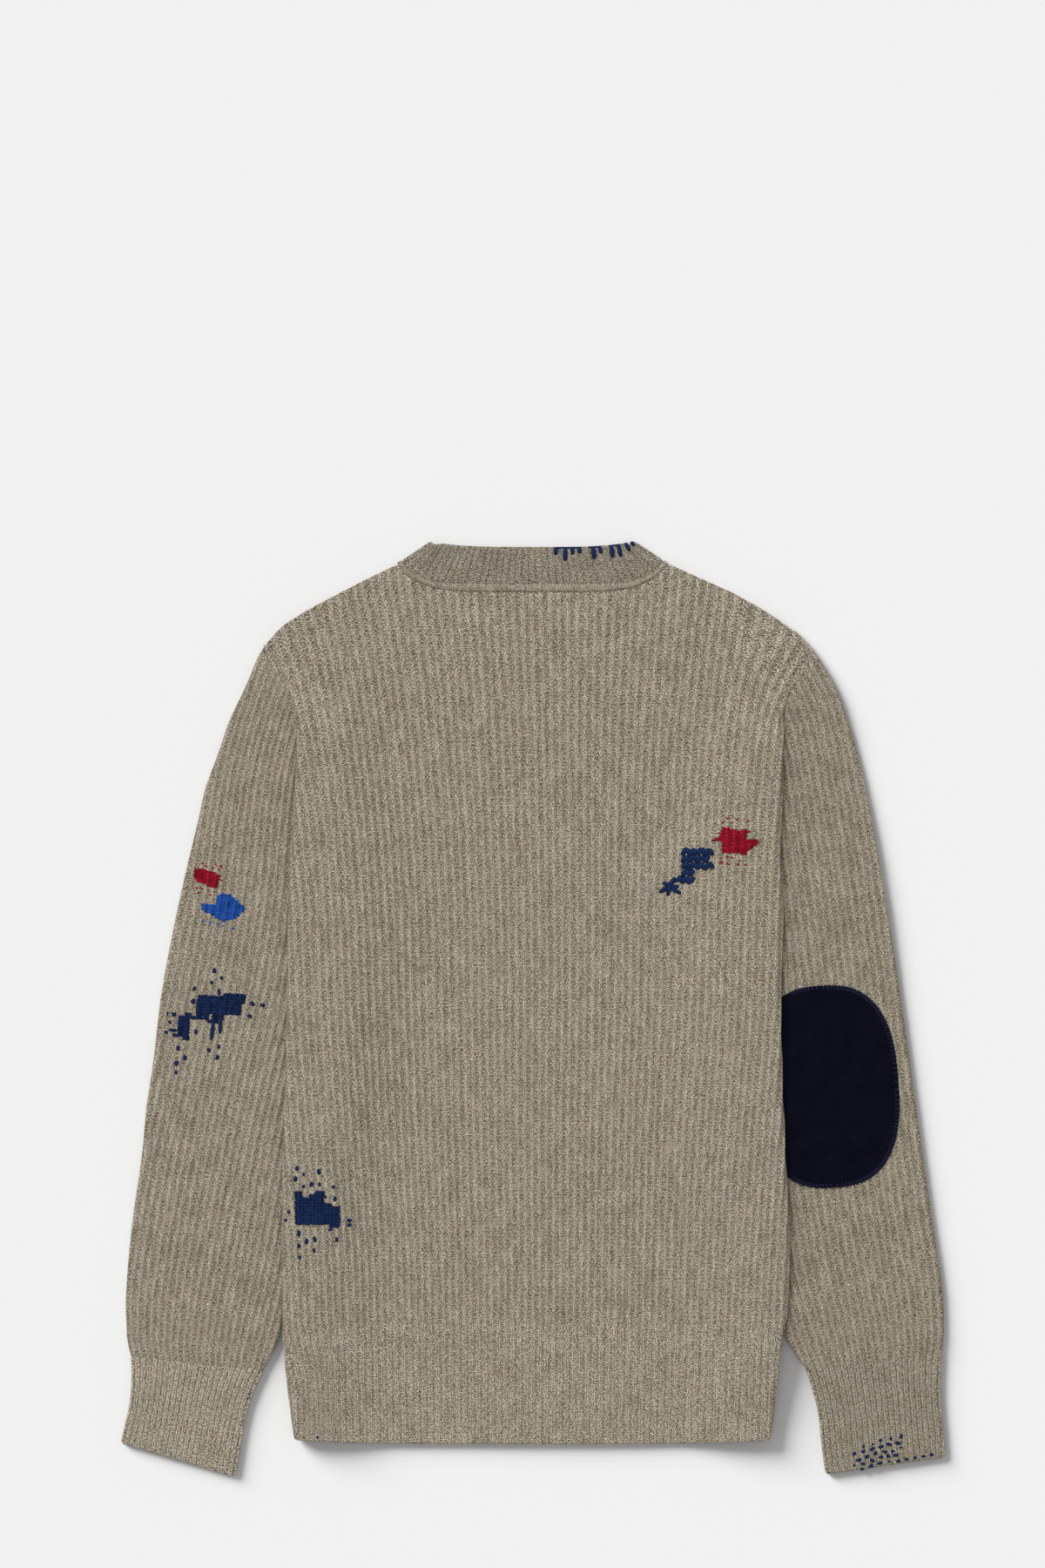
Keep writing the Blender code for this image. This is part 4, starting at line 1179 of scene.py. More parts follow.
class Value:
    """A socket of a material's nodes, on which shader maths is written as Python expressions."""

    def __init__(self, graph, socket):
        self.graph = graph
        self.socket = socket

    def math(self, operation, *others):
        """The result of a maths node on this value and others."""
        return self.graph.node("ShaderNodeMath", {"operation": operation}, self, *others)

    def __add__(self, other):
        return self.math("ADD", other)

    def __sub__(self, other):
        return self.math("SUBTRACT", other)

    def __rsub__(self, other):
        return self.graph.node("ShaderNodeMath", {"operation": "SUBTRACT"}, other, self)

    def __mul__(self, other):
        return self.math("MULTIPLY", other)

    def __truediv__(self, other):
        return self.math("DIVIDE", other)

    def __pow__(self, other):
        return self.math("POWER", other)

    __radd__, __rmul__ = __add__, __mul__


class Graph:
    """The nodes of one material."""

    def __init__(self, name):
        self.material = bpy.data.materials.new(name)
        self.material.use_nodes = True
        self.tree = self.material.node_tree
        self.tree.nodes.clear()

    def node(self, kind, settings, *values, out=0, **named):
        """Adds a node: its settings first, then its sockets by order or by name."""
        item = self.tree.nodes.new(kind)
        for key, value in settings.items():
            if key == "stops":
                elements = item.color_ramp.elements
                for position, _ in value[1:-1]:
                    elements.new(position)
                for stop, (position, colour) in zip(elements, value):
                    stop.position, stop.color = position, (*colour, 1)
            else:
                setattr(item, key, value)
        pairs = list(enumerate(values)) + [(key.replace("_", " "), value) for key, value in named.items()]
        for key, value in pairs:
            if isinstance(value, Value):
                self.tree.links.new(value.socket, item.inputs[key])
            else:
                item.inputs[key].default_value = value
        return Value(self, item.outputs[out]) if len(item.outputs) else None

    def uv_map(self):
        """The UV map as one vector, and as its u and v."""
        uv = self.node("ShaderNodeTexCoord", {}, out=UV_OUT)
        return uv, *self.split(uv)[:2]

    def split(self, vector):
        """The three parts of a vector."""
        parts = self.node("ShaderNodeSeparateXYZ", {}, vector)
        return [Value(self, parts.socket.node.outputs[index]) for index in range(3)]

    def noise(self, vector, scale, detail=2.0, roughness=0.5):
        """Soft noise from 0 to 1, with scale waves to the metre."""
        return self.node("ShaderNodeTexNoise", {}, Vector=vector, Scale=scale, Detail=detail, Roughness=roughness)

    def mix(self, factor, low, high, blend="MIX"):
        """A mix of two colours, which are linear (r, g, b) or links."""
        low, high = (value if isinstance(value, Value) else (*value, 1) for value in (low, high))
        item = self.node("ShaderNodeMix", {"data_type": "RGBA", "blend_type": blend}, Factor=factor, out=MIXED_OUT)
        for index, value in ((MIX_LOW, low), (MIX_HIGH, high)):
            socket = item.socket.node.inputs[index]
            if isinstance(value, Value):
                self.tree.links.new(value.socket, socket)
            else:
                socket.default_value = value
        return item

    def finish(self, colour, height, strength, roughness, sheen, sheen_tint, gloss=0.15):
        """Ends the material. height is its relief in metres, and strength how much of it the light shows."""
        normal = self.node("ShaderNodeBump", {}, Strength=strength, Distance=1.0, Height=height)
        shader = self.node("ShaderNodeBsdfPrincipled", {}, Base_Color=colour, Roughness=roughness, Normal=normal,
                           Sheen_Weight=sheen, Sheen_Roughness=0.5, Sheen_Tint=(*sheen_tint, 1))
        shader.socket.node.inputs["Specular IOR Level"].default_value = gloss
        self.node("ShaderNodeOutputMaterial", {}, Surface=shader)
        return self.material


def wave(value):
    """0 to 1 and back once for each unit."""
    return (value * (2 * math.pi)).math("COSINE") * 0.5 + 0.5


def scaled(colour, factor):
    """A colour made darker or lighter."""
    return tuple(channel * factor for channel in colour)


# Brightness across half a rib, partly the wool's pale stitch chains and partly painted light on the crests and
# painted shade in the furrows: its distance from the rib's middle as a share of the rib, and the brightness
BODY_PROFILE = ((0, 0.42), (0.06, 0.86), (0.12, 1.0), (0.19, 0.66), (0.25, 0.3), (0.31, 0.08), (0.5, 0))
HEM_PROFILE = (
    (0, 0.04), (0.06, 0.34), (0.12, 0.76), (0.17, 1.0), (0.22, 0.84), (0.28, 0.36), (0.34, 0.04), (0.5, 0.04),
)
CUFF_PROFILE = (
    (0, 0.26), (0.06, 0.4), (0.12, 0.64), (0.19, 0.96), (0.22, 1.0), (0.28, 0.8), (0.34, 0.48), (0.42, 0.12),
    (0.5, 0),
)
BAND_PROFILE = ((0, 0.4), (0.06, 0.7), (0.14, 1.0), (0.2, 0.72), (0.28, 0.34), (0.38, 0.06), (0.5, 0.08))

# A knit: width of its ribs on the UV map, its profile, and the strength of each share of its look, which are the
# profile, with painted light on the crests and painted shade in the furrows, the stitch legs, with painted shade
# between them, and the uneven wool at falling sizes
Knit = namedtuple("Knit", "rib profile crest legs stitch fibre fleck yarn patchy hue")
BODY_KNIT = Knit(BODY_RIB, BODY_PROFILE, 0.2, 0.12, 0.18, 3.7, 0.9, 0.35, 0.15, 0.06)
SLEEVE_KNIT = Knit(BODY_RIB, BODY_PROFILE, 0.18, 0.11, 0.17, 3.1, 0.85, 0.35, 0.2, 0.06)
HEM_KNIT = Knit(HEM_RIB, HEM_PROFILE, 0.24, 0.1, 0.2, 4.6, 1.1, 0.35, 0.2, 0.06)
CUFF_KNIT = Knit(CUFF_RIB, CUFF_PROFILE, 0.42, 0.09, 0.17, 4.3, 1.0, 0.3, 0.2, 0.06)
BAND_KNIT = Knit(BAND_RIB, BAND_PROFILE, 0.24, 0.1, 0.18, 5.5, 1.3, 0.45, 0.3, 0.08)
TRIM_KNIT = Knit(BAND_RIB * 0.6, BODY_PROFILE, 0.08, 0.1, 0.24, 4.2, 1.1, 0.4, 0.3, 0.1)
BAND_COURSE, TRIM_COURSE = 0.0016, 0.0022


def knit_material(name, wool, knit, course, tone):
    """Heathered wool rib, with painted light on its crests and painted shade in its furrows and between its stitch
    legs. course is the height of its stitches in metres, and tone its brightness.
    """
    graph = Graph(name)
    uv, u, v = graph.uv_map()
    drift = graph.noise(uv, 70, 1) - 0.5
    wale = u / (knit.rib * MM) + drift * 0.22
    side = ((wale + 0.5).math("FRACT") - 0.5).math("ABSOLUTE")
    row = v / course + drift * 1.6 - side.math("MINIMUM", 0.37) * 3
    # Stitch legs, light in their middles, with painted shade in the gaps between them
    legs = wave(row)
    cell = graph.node("ShaderNodeCombineXYZ", {}, (wale * 2).math("FLOOR"), row.math("FLOOR"), 0.0)
    chance = graph.node("ShaderNodeTexWhiteNoise", {"noise_dimensions": "2D"}, Vector=cell)
    stops = tuple((place * 2, (share, share, share)) for place, share in knit.profile)
    # The rib's profile: painted light on its crest and painted shade in its furrows, over its pale stitch chains
    crest = graph.node("ShaderNodeValToRGB", {"stops": stops}, side * 2)
    fibre = graph.noise(uv, 1300, 2, 0.6) - 0.5
    fleck = graph.noise(uv, 620, 2, 0.6) - 0.5
    yarn = graph.noise(graph.node("ShaderNodeCombineXYZ", {}, u, v * 0.22, 0.0), 190, 2, 0.6) - 0.5
    patchy = graph.noise(uv, 45, 2, 0.6) - 0.5
    slub = (graph.noise(uv, 420, 0) - 0.82).math("MAXIMUM", 0.0)
    light = 0.4 + (crest - 0.4) * knit.crest + (legs - 0.5) * (2 * knit.legs) + (chance - 0.5) * knit.stitch
    light = light + fibre * knit.fibre + fleck * knit.fleck + yarn * knit.yarn + patchy * knit.patchy + slub * 6
    stops = ((0.0, wool.darkest), (0.25, wool.dark), (0.475, wool.middle), (0.72, wool.light), (1.0, wool.lightest))
    colour = graph.node("ShaderNodeValToRGB", {"stops": stops}, light)
    for scale, strength in ((300, knit.hue), (75, knit.hue * 0.8)):
        warmth = graph.noise(uv, scale, 1, 0.6)
        tint = graph.mix(warmth, (1 - strength, 1 - strength * 0.1, 1 + strength),
                         (1 + strength, 1 + strength * 0.1, 1 - strength))
        colour = graph.mix(1.0, colour, tint, "MULTIPLY")
    blush = graph.noise(uv, 180, 2, 0.6)
    colour = graph.mix(1.0, colour, graph.mix(blush, (0.96, 1.03, 0.98), (1.04, 0.97, 1.02)), "MULTIPLY")
    colour = graph.mix(1.0, colour, (tone, tone, tone), "MULTIPLY")
    height = crest * 0.0003 + legs * 0.0003 + fibre * 0.00015 + fleck * 0.0002
    return graph.finish(colour, height, strength=0.6, roughness=0.92, sheen=0.1, sheen_tint=(0.9, 0.85, 0.75))


def jersey_material(name, tone):
    """Fine dark jersey: thin courses, with lighter fibres here and there."""
    graph = Graph(name)
    uv, u, v = graph.uv_map()
    drift = graph.noise(uv, 60, 2)
    course = wave(v / 0.0016 + drift * 2)
    wale = wave(u / 0.0015 + drift * 1.5)
    fibre = graph.noise(uv, 1000, 3, 0.6)
    light = course * 0.25 + wale * 0.15 + (fibre - 0.5) * 2.2 + (drift - 0.5) * 0.8 + 0.3
    colour = graph.mix(light, scaled(tone, 0.45), scaled(tone, 1.6))
    height = course * 0.00012 + wale * 0.00008 + fibre * 0.0001
    return graph.finish(
        colour, height, strength=0.5, roughness=0.95, sheen=0.0, sheen_tint=(0.5, 0.6, 1.0), gloss=0.0,
    )


def yarn_material(name, tone):
    """Plied darning wool: stripes twist round each stitch, and its sides are painted in shade."""
    graph = Graph(name)
    _, u, v = graph.uv_map()
    place = graph.node("ShaderNodeTexCoord", {}, out=OBJECT_OUT)
    ply = wave(u / 0.0011 + v * 0.4)
    fibre = graph.noise(place, 1500, 2, 0.6)
    shade = graph.noise(place, 260, 2)
    # v runs from a stitch's top to its sides, and is 1 for sunk stitches: these are painted darker as shade
    light = ply * 0.4 + (fibre - 0.5) * 1.6 + (shade - 0.5) * 1.0 + 0.66 - v * v * 0.6
    colour = graph.mix(light, scaled(tone, 0.2), scaled(tone, 1.8))
    height = ply * 0.0002 + fibre * 0.00015
    return graph.finish(colour, height, strength=0.5, roughness=0.9, sheen=0.0, sheen_tint=tone, gloss=0.1)


# Putting a piece into the frame


def put_in(item, material, slot, *nodes):
    """Gives a piece its material and its body, and hides the nodes that it stands for. slot is not used."""
    item.data.materials.clear()
    item.data.materials.append(material)
    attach(item, "root")
    if nodes:
        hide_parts(*nodes)


def strip_area(lengths, heights):
    """Area in square metres of a cut whose widths are given at heights, both in millimetres."""
    lengths, heights = np.array(lengths), np.array(heights)
    return float(np.sum((lengths[1:] + lengths[:-1]) / 2 * np.abs(np.diff(heights)))) * MM * MM


def panel_cut(layer):
    """Width, length and area of a panel laid out flat."""
    y = np.linspace(HEM_SEAM, PANEL_TOP, 200)
    widths = Side(-1, y).length(layer) + Side(1, y).length(layer)
    x = np.linspace(-PANEL_REACH, PANEL_REACH, 400)
    top = top_y(x, layer)
    neck_bottom = neck_y(PANEL_NECK, np.zeros(1), layer)[0]
    lengths = []
    for height, width in zip(y, widths):
        if height > SHOULDER_START:
            lengths.append(len(x[top >= height]) * (x[1] - x[0]))
        else:
            missing = 0 if height < neck_bottom else len(x[top < height]) * (x[1] - x[0])
            lengths.append(width - missing)
    return max(widths) * MM, (PANEL_TOP - HEM_SEAM) * MM, strip_area(lengths, y)


# Sizes of the flat cuts in metres, the piece below each, and the stitches on it that aren't darns
Cut = namedtuple("Cut", "piece width length area rests_on stitches", defaults=([], []))
CUTS = (
    Cut("back_hem_rib_knit", 0.415, 0.090, 0.0365, ["front_hem_rib"]),
    Cut("front_hem_rib_knit", 0.410, 0.090, 0.0360),
    Cut("left_sleeve_knit", 0.330, 0.550, 0.125),
    Cut("right_sleeve_knit", 0.330, 0.550, 0.125),
    Cut("left_cuff_knit", 0.188, 0.076, 0.0140),
    Cut("right_cuff_knit", 0.188, 0.080, 0.0145),
    Cut("neckband_knit", 0.550, 0.0286, 0.0145, stitches=["neck_blanket_stitches"]),
    Cut("neck_trim_knit", 0.660, 0.0105, 0.0045),
    Cut("elbow_patch_jersey", 0.108, 0.153, 0.0150, ["right_sleeve"], ["patch_overcasting"]),
)


def declare_cloth():
    """Works out the flat cut of every sheet, and which stitches go with it, but passes neither on."""
    panels = (
        Cut("back_panel_knit", *panel_cut(0), ["front_panel"]),
        Cut("front_panel_knit", *panel_cut(1)),
    )
    for cut in panels + CUTS:
        stitches = [darn.name for darn in DARNS if darn.piece == cut.piece] + cut.stitches


class SWEATER_OT_body(bpy.types.Operator):
    """Knits the back and front panels and the hem ribs"""

    bl_idname = "sweater.body"
    bl_label = "Body and hem"

    def execute(self, context):
        wool = context.scene.sweater_wool
        body_wool = knit_material("heathered_wool", wool, BODY_KNIT, wool.course, wool.body_tone)
        hem_wool = knit_material("hem_wool", wool, HEM_KNIT, wool.rib_course, wool.hem_tone)
        for layer, node, steps, rows in ((0, "back_panel", 6, 88), (1, "front_panel", 4, 70)):
            item = panel(node + "_knit", layer, steps, rows, wool.rib_relief / MM)
            put_in(item, body_wool, "wool", node)
        for layer, node, steps in ((0, "back_hem_rib", 10), (1, "front_hem_rib", 8)):
            item = hem(node + "_knit", layer, steps, row_count=18, relief=wool.split_relief / MM)
            put_in(item, hem_wool, "rib_wool", node)
        return {"FINISHED"}


class SWEATER_OT_sleeves(bpy.types.Operator):
    """Knits both sleeves and their cuffs as flattened tubes"""

    bl_idname = "sweater.sleeves"
    bl_label = "Sleeves and cuffs"

    def execute(self, context):
        wool = context.scene.sweater_wool
        for side, word, table, fold, cuff_table in (
            (-1, "left", LEFT_SLEEVE, LEFT_INNER, LEFT_CUFF),
            (1, "right", RIGHT_SLEEVE, RIGHT_INNER, RIGHT_CUFF),
        ):
            node, cuff_node = word + "_sleeve", word + "_cuff"
            tone, cuff_tone = getattr(wool, node + "_tone"), getattr(wool, cuff_node + "_tone")
            sleeve_wool = knit_material(node + "_wool", wool, SLEEVE_KNIT, wool.course, tone)
            item = sleeve(
                node + "_knit", side, table, fold, steps_per_rib=6, row_count=80, relief=wool.rib_relief / MM,
            )
            put_in(item, sleeve_wool, "wool", node)
            cuff_wool = knit_material(cuff_node + "_wool", wool, CUFF_KNIT, wool.rib_course, cuff_tone)
            item = cuff(
                cuff_node + "_knit", side, cuff_table, steps_per_rib=10, row_count=16, relief=wool.split_relief / MM,
            )
            put_in(item, cuff_wool, "rib_wool", cuff_node)
        return {"FINISHED"}


class SWEATER_OT_neck(bpy.types.Operator):
    """Knits the neckband and the raised trim along its seam"""

    bl_idname = "sweater.neck"
    bl_label = "Neckband and trim"

    def execute(self, context):
        wool = context.scene.sweater_wool
        band_wool = knit_material("band_wool", wool, BAND_KNIT, BAND_COURSE, wool.band_tone)
        trim_wool = knit_material("trim_wool", wool, TRIM_KNIT, TRIM_COURSE, wool.trim_tone)
        item = neck_sheet(
            "neckband_knit", BAND_BASE, BAND_TOP, WALL, split_form, BAND_RIBS, steps_per_rib=10,
            depths=edged_rows(BAND_DEPTH, 8), relief=0.7, arch=0, spread=BAND_SPREAD, least=0,
        )
        put_in(item, band_wool, "band_wool", "neckband")
        item = neck_sheet(
            "neck_trim_knit", TRIM_OUTER, TRIM_INNER, TRIM_WALL, rib_form, TRIM_RIBS, steps_per_rib=6,
            depths=TRIM_DEPTHS, relief=0.25, arch=TRIM_ARCH, spread=0, least=0.4,
        )
        put_in(item, trim_wool, "band_wool", "neck_trim")
        return {"FINISHED"}


class SWEATER_OT_patch(bpy.types.Operator):
    """Sews the jersey patch on the elbow with overcast stitches"""

    bl_idname = "sweater.patch"
    bl_label = "Elbow patch"

    def execute(self, context):
        yarns = context.scene.sweater_yarns
        jersey = jersey_material("navy_jersey", yarns.jersey)
        item = elbow_patch("elbow_patch_jersey", sides=160, rings=14)
        put_in(item, jersey, "patch_jersey", "elbow_patch")
        angle = np.linspace(0, 2 * math.pi, OVERCAST_COUNT, endpoint=False)
        places, ahead = patch_edge(angle), patch_edge(angle + 0.01)
        stitches = []
        for (x, y), (ahead_x, ahead_y) in zip(places, ahead):
            way = math.degrees(math.atan2(ahead_y - y, ahead_x - x))
            inward = heading(way + 90) * OVERCAST_INSET
            x, y = x + inward[0] + PATCH_MIDDLE[0], y + inward[1] + PATCH_MIDDLE[1]
            if x > OVERCAST_START_X:
                stitches.append(Stitch(x, y, way + OVERCAST_SLANT, OVERCAST_LENGTH, OVERCAST_THICK))
        yarn = yarn_material("patch_yarn", yarns.overcasting)
        lay_stitches("patch_overcasting", stitches, ["elbow_patch_jersey", "right_sleeve_knit"], yarn, "patch_jersey")
        return {"FINISHED"}


class SWEATER_OT_darns(bpy.types.Operator):
    """Darns the holes with red, blue and navy yarn"""

    bl_idname = "sweater.darns"
    bl_label = "Darns"

    def execute(self, context):
        colours = context.scene.sweater_yarns
        yarns = {
            "red_yarn": yarn_material("red_darning_yarn", colours.red),
            "blue_yarn": yarn_material("blue_darning_yarn", colours.blue),
            "navy_yarn": yarn_material("navy_darning_yarn", colours.navy),
        }
        for darn in DARNS:
            stitches = filled(darn) + [Stitch(*stray) for stray in darn.strays]
            for run in darn.runs:
                for share in np.linspace(0, 1, run.count):
                    x, y = run.x + (run.end_x - run.x) * share, run.y + (run.end_y - run.y) * share
                    angle = run.angle + 14 * math.sin(9 * share + run.y)
                    length = run.length * (1 + 0.15 * math.sin(run.x + 21 * share))
                    stitches.append(Stitch(x, y, angle, length, run.thick))
            lay_stitches(darn.name, stitches, [darn.piece], yarns[darn.yarn], darn.yarn)
        lay_stitches("neck_blanket_stitches", edge_stitches(), ["neckband_knit"], yarns["navy_yarn"], "navy_yarn")
        declare_cloth()
        return {"FINISHED"}


# The stage: metres of floor along the longer side of the view, places over the floor, and the backdrop's colour
SEEN_LENGTH, SENSOR = 1.188, 36
CAMERA_PLACE, LAMP_PLACE = (-0.0076, 0.1703), (-2, 2, 3)
BACKDROP = (0.88, 0.88, 0.88, 1)


class SWEATER_OT_stage(bpy.types.Operator):
    """Sets up the floor, the light and the camera"""

    bl_idname = "sweater.stage"
    bl_label = "Stage"

    def execute(self, context):
        settings = context.scene.sweater_stage
        bpy.ops.object.select_all(action="DESELECT")
        bpy.ops.mesh.primitive_plane_add(size=30, location=(0, 0, 0))
        floor = context.active_object
        floor.name = "floor"
        graph = Graph("pale_floor")
        shader = graph.node("ShaderNodeBsdfDiffuse", {}, Color=(*settings.floor_colour, 1), Roughness=0.0)
        graph.node("ShaderNodeOutputMaterial", {}, Surface=shader)
        floor.data.materials.append(graph.material)
        floor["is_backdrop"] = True

        pieces = bpy.data.collections.new("sweater")
        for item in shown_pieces():
            pieces.objects.link(item)
        floor_only = bpy.data.collections.new("floor_only")
        floor_only.objects.link(floor)
        for word, receivers in (("key", pieces), ("shadow", floor_only)):
            strength, softness, azimuth, height = (
                getattr(settings, f"{word}_{part}") for part in ("strength", "softness", "azimuth", "height")
            )
            bpy.ops.object.light_add(type="SUN", location=LAMP_PLACE)
            sun = context.active_object
            sun.name = word + "_light"
            sun.data.angle = softness
            sun.data.energy = strength
            way = Vector((math.sin(azimuth), -math.cos(azimuth), 0)) * math.cos(height)
            way.z = math.sin(height)
            sun.rotation_euler = way.to_track_quat("Z", "Y").to_euler()
            sun.light_linking.receiver_collection = receivers

        # The world gives an even light, and the camera sees the backdrop's colour in its place
        world = bpy.data.worlds.new("studio")
        context.scene.world = world
        world.use_nodes = True
        nodes, links = world.node_tree.nodes, world.node_tree.links
        background = nodes["Background"]
        light_path, shown, chooser = (
            nodes.new(kind) for kind in ("ShaderNodeLightPath", "ShaderNodeBackground", "ShaderNodeMixShader")
        )
        background.inputs["Color"].default_value = (1, 1, 1, 1)
        background.inputs["Strength"].default_value = settings.fill_strength
        shown.inputs["Color"].default_value = BACKDROP
        links.new(light_path.outputs["Is Camera Ray"], chooser.inputs[0])
        links.new(background.outputs[0], chooser.inputs[1])
        links.new(shown.outputs[0], chooser.inputs[2])
        links.new(chooser.outputs[0], nodes["World Output"].inputs["Surface"])

        camera_data = bpy.data.cameras.new("camera")
        camera = bpy.data.objects.new("camera", camera_data)
        context.scene.collection.objects.link(camera)
        camera.location = (*CAMERA_PLACE, settings.camera_height)
        camera_data.sensor_width = SENSOR
        camera_data.lens = SENSOR * settings.camera_height / SEEN_LENGTH
        camera_data.clip_end = 100
        context.scene.camera = camera
        context.scene.view_settings.view_transform = "Standard"
        return {"FINISHED"}


class SweaterWool(bpy.types.PropertyGroup):
    """Wool of the ribs and how high they stand"""

    # The darkest stop is where the painted shade at the bottoms of the furrows lands
    darkest: bpy.props.FloatVectorProperty(
        name="Darkest wool", description="Colour of the deepest furrows", subtype="COLOR", size=3,
        default=(0.072, 0.056, 0.032), min=0, max=1)
    dark: bpy.props.FloatVectorProperty(
        name="Dark wool", description="Colour of the dark fibres", subtype="COLOR", size=3,
        default=(0.188, 0.157, 0.108), min=0, max=1)
    middle: bpy.props.FloatVectorProperty(
        name="Wool", description="Colour of most of the wool", subtype="COLOR", size=3,
        default=(0.323, 0.28, 0.21), min=0, max=1)
    light: bpy.props.FloatVectorProperty(
        name="Light wool", description="Colour of the light fibres", subtype="COLOR", size=3,
        default=(0.503, 0.446, 0.354), min=0, max=1)
    lightest: bpy.props.FloatVectorProperty(
        name="Lightest wool", description="Colour of the palest flecks", subtype="COLOR", size=3,
        default=(0.745, 0.673, 0.558), min=0, max=1)
    rib_relief: bpy.props.FloatProperty(
        name="Rib height", description="Height of the ribs of the panels and sleeves", unit="LENGTH",
        default=0.001, min=0, max=0.0015)
    split_relief: bpy.props.FloatProperty(
        name="Edge rib height", description="Height of the ribs of the hem and cuffs", unit="LENGTH",
        default=0.0006, min=0, max=0.001)
    course: bpy.props.FloatProperty(
        name="Stitch height", description="Height of a stitch of the panels and sleeves", unit="LENGTH",
        default=0.0029, min=0.001)
    rib_course: bpy.props.FloatProperty(
        name="Edge stitch height", description="Height of a stitch of the hem and cuffs", unit="LENGTH",
        default=0.00195, min=0.001)
    body_tone: bpy.props.FloatProperty(
        name="Body", description="Brightness of the panels", subtype="FACTOR",
        default=1.0, min=0, soft_max=1.5)
    hem_tone: bpy.props.FloatProperty(
        name="Hem", description="Brightness of the hem ribs", subtype="FACTOR",
        default=1.03, min=0, soft_max=1.5)
    left_sleeve_tone: bpy.props.FloatProperty(
        name="Left sleeve", description="Brightness of the left sleeve", subtype="FACTOR",
        default=0.99, min=0, soft_max=1.5)
    right_sleeve_tone: bpy.props.FloatProperty(
        name="Right sleeve", description="Brightness of the right sleeve", subtype="FACTOR",
        default=0.945, min=0, soft_max=1.5)
    left_cuff_tone: bpy.props.FloatProperty(
        name="Left cuff", description="Brightness of the left cuff", subtype="FACTOR",
        default=0.99, min=0, soft_max=1.5)
    right_cuff_tone: bpy.props.FloatProperty(
        name="Right cuff", description="Brightness of the right cuff", subtype="FACTOR",
        default=0.81, min=0, soft_max=1.5)
    band_tone: bpy.props.FloatProperty(
        name="Neckband", description="Brightness of the neckband", subtype="FACTOR",
        default=0.79, min=0, soft_max=1.5)
    trim_tone: bpy.props.FloatProperty(
        name="Neck trim", description="Brightness of the neck trim", subtype="FACTOR",
        default=1.02, min=0, soft_max=1.5)


class SweaterYarns(bpy.types.PropertyGroup):
    """Colours of the mending yarns and of the patch"""

    red: bpy.props.FloatVectorProperty(
        name="Red yarn", description="Colour of the red darns", subtype="COLOR", size=3,
        default=(0.232, 0.004, 0.0182), min=0, max=1)
    blue: bpy.props.FloatVectorProperty(
        name="Blue yarn", description="Colour of the blue darn", subtype="COLOR", size=3,
        default=(0.0162, 0.078, 0.335), min=0, max=1)
    navy: bpy.props.FloatVectorProperty(
        name="Navy yarn", description="Colour of the navy darns and blanket stitches", subtype="COLOR", size=3,
        default=(0.0068, 0.0172, 0.061), min=0, max=1)
    jersey: bpy.props.FloatVectorProperty(
        name="Jersey", description="Colour of the elbow patch", subtype="COLOR", size=3,
        default=(0.0046, 0.0049, 0.0108), min=0, max=1)
    overcasting: bpy.props.FloatVectorProperty(
        name="Overcasting", description="Colour of the stitches round the patch", subtype="COLOR", size=3,
        default=(0.009, 0.0115, 0.029), min=0, max=1)


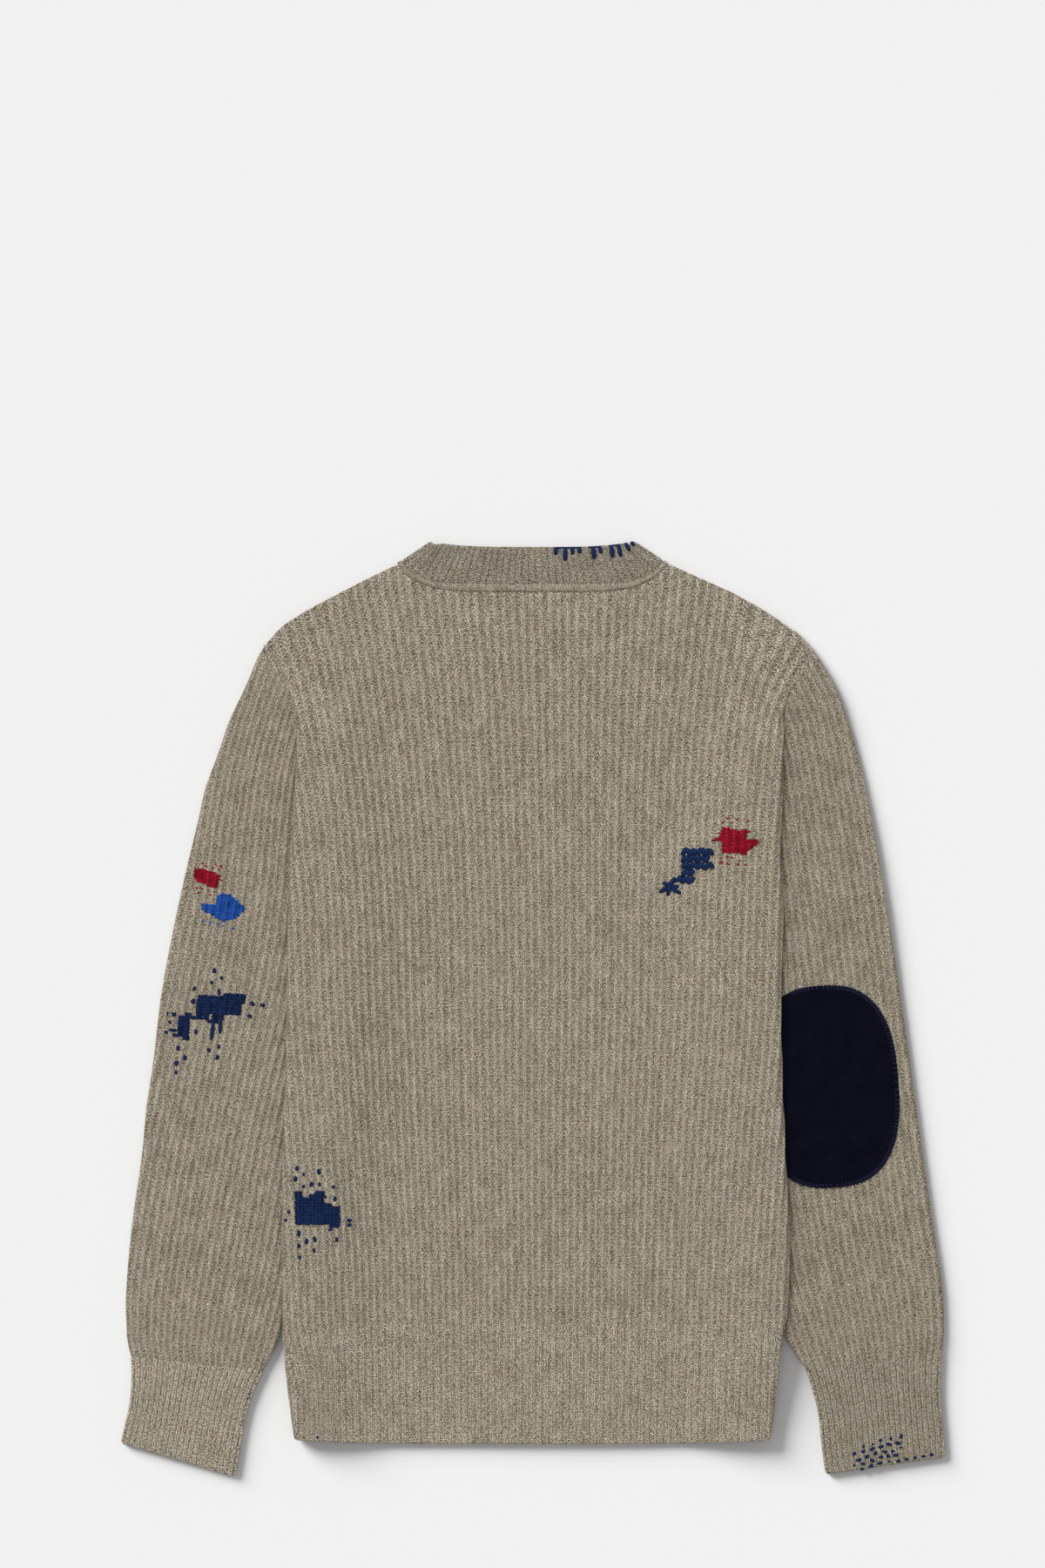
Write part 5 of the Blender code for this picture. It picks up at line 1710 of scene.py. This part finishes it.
class SweaterStage(bpy.types.PropertyGroup):
    """Floor, light and camera"""

    floor_colour: bpy.props.FloatVectorProperty(
        name="Floor", description="Colour of the floor", subtype="COLOR", size=3,
        default=(0.88, 0.88, 0.88), min=0, max=1)
    key_strength: bpy.props.FloatProperty(
        name="Key light", description="Strength of the key light", default=2.29, min=0)
    key_softness: bpy.props.FloatProperty(
        name="Key softness", description="Width of the key light", subtype="ANGLE", unit="ROTATION",
        default=math.radians(50))
    key_azimuth: bpy.props.FloatProperty(
        name="Key direction", description="Where the key light comes from, seen from above", subtype="ANGLE",
        unit="ROTATION", default=math.radians(-152))
    key_height: bpy.props.FloatProperty(
        name="Key height", description="Height of the key light over the horizon", subtype="ANGLE", unit="ROTATION",
        default=math.radians(58))
    shadow_strength: bpy.props.FloatProperty(
        name="Shadow light", description="Strength of the low light that only the floor catches", default=5.05, min=0)
    shadow_softness: bpy.props.FloatProperty(
        name="Shadow softness", description="Width of the floor's light", subtype="ANGLE", unit="ROTATION",
        default=math.radians(30))
    shadow_azimuth: bpy.props.FloatProperty(
        name="Shadow direction", description="Where the floor's light comes from, seen from above", subtype="ANGLE",
        unit="ROTATION", default=math.radians(-130))
    shadow_height: bpy.props.FloatProperty(
        name="Shadow light height", description="Height of the floor's light over the horizon", subtype="ANGLE",
        unit="ROTATION", default=math.radians(22.8))
    fill_strength: bpy.props.FloatProperty(
        name="Fill light", description="Strength of the even light from all round", default=0.38, min=0)
    camera_height: bpy.props.FloatProperty(
        name="Camera height", description="Height of the camera over the floor", unit="LENGTH", default=5.0, min=1)


OPERATORS = (
    SWEATER_OT_body, SWEATER_OT_sleeves, SWEATER_OT_neck, SWEATER_OT_patch, SWEATER_OT_darns, SWEATER_OT_stage,
)


class SWEATER_PT_main(bpy.types.Panel):
    """Lists the pieces in the order in which they are made"""

    bl_idname = "SWEATER_PT_main"
    bl_label = "Darned wool sweater"
    bl_space_type = "VIEW_3D"
    bl_region_type = "UI"
    bl_category = "Sweater"

    def draw(self, context):
        for operator in OPERATORS:
            self.layout.operator(operator.bl_idname)


CLASSES = (SweaterWool, SweaterYarns, SweaterStage, *OPERATORS, SWEATER_PT_main)


def register():
    for item in CLASSES:
        bpy.utils.register_class(item)
    bpy.types.Scene.sweater_wool = bpy.props.PointerProperty(type=SweaterWool)
    bpy.types.Scene.sweater_yarns = bpy.props.PointerProperty(type=SweaterYarns)
    bpy.types.Scene.sweater_stage = bpy.props.PointerProperty(type=SweaterStage)


def unregister():
    del bpy.types.Scene.sweater_wool, bpy.types.Scene.sweater_yarns, bpy.types.Scene.sweater_stage
    for item in reversed(CLASSES):
        bpy.utils.unregister_class(item)


def main():
    register()
    for operator in OPERATORS:
        group, name = operator.bl_idname.split(".")
        getattr(getattr(bpy.ops, group), name)()


if __name__ == "__main__":
    main()
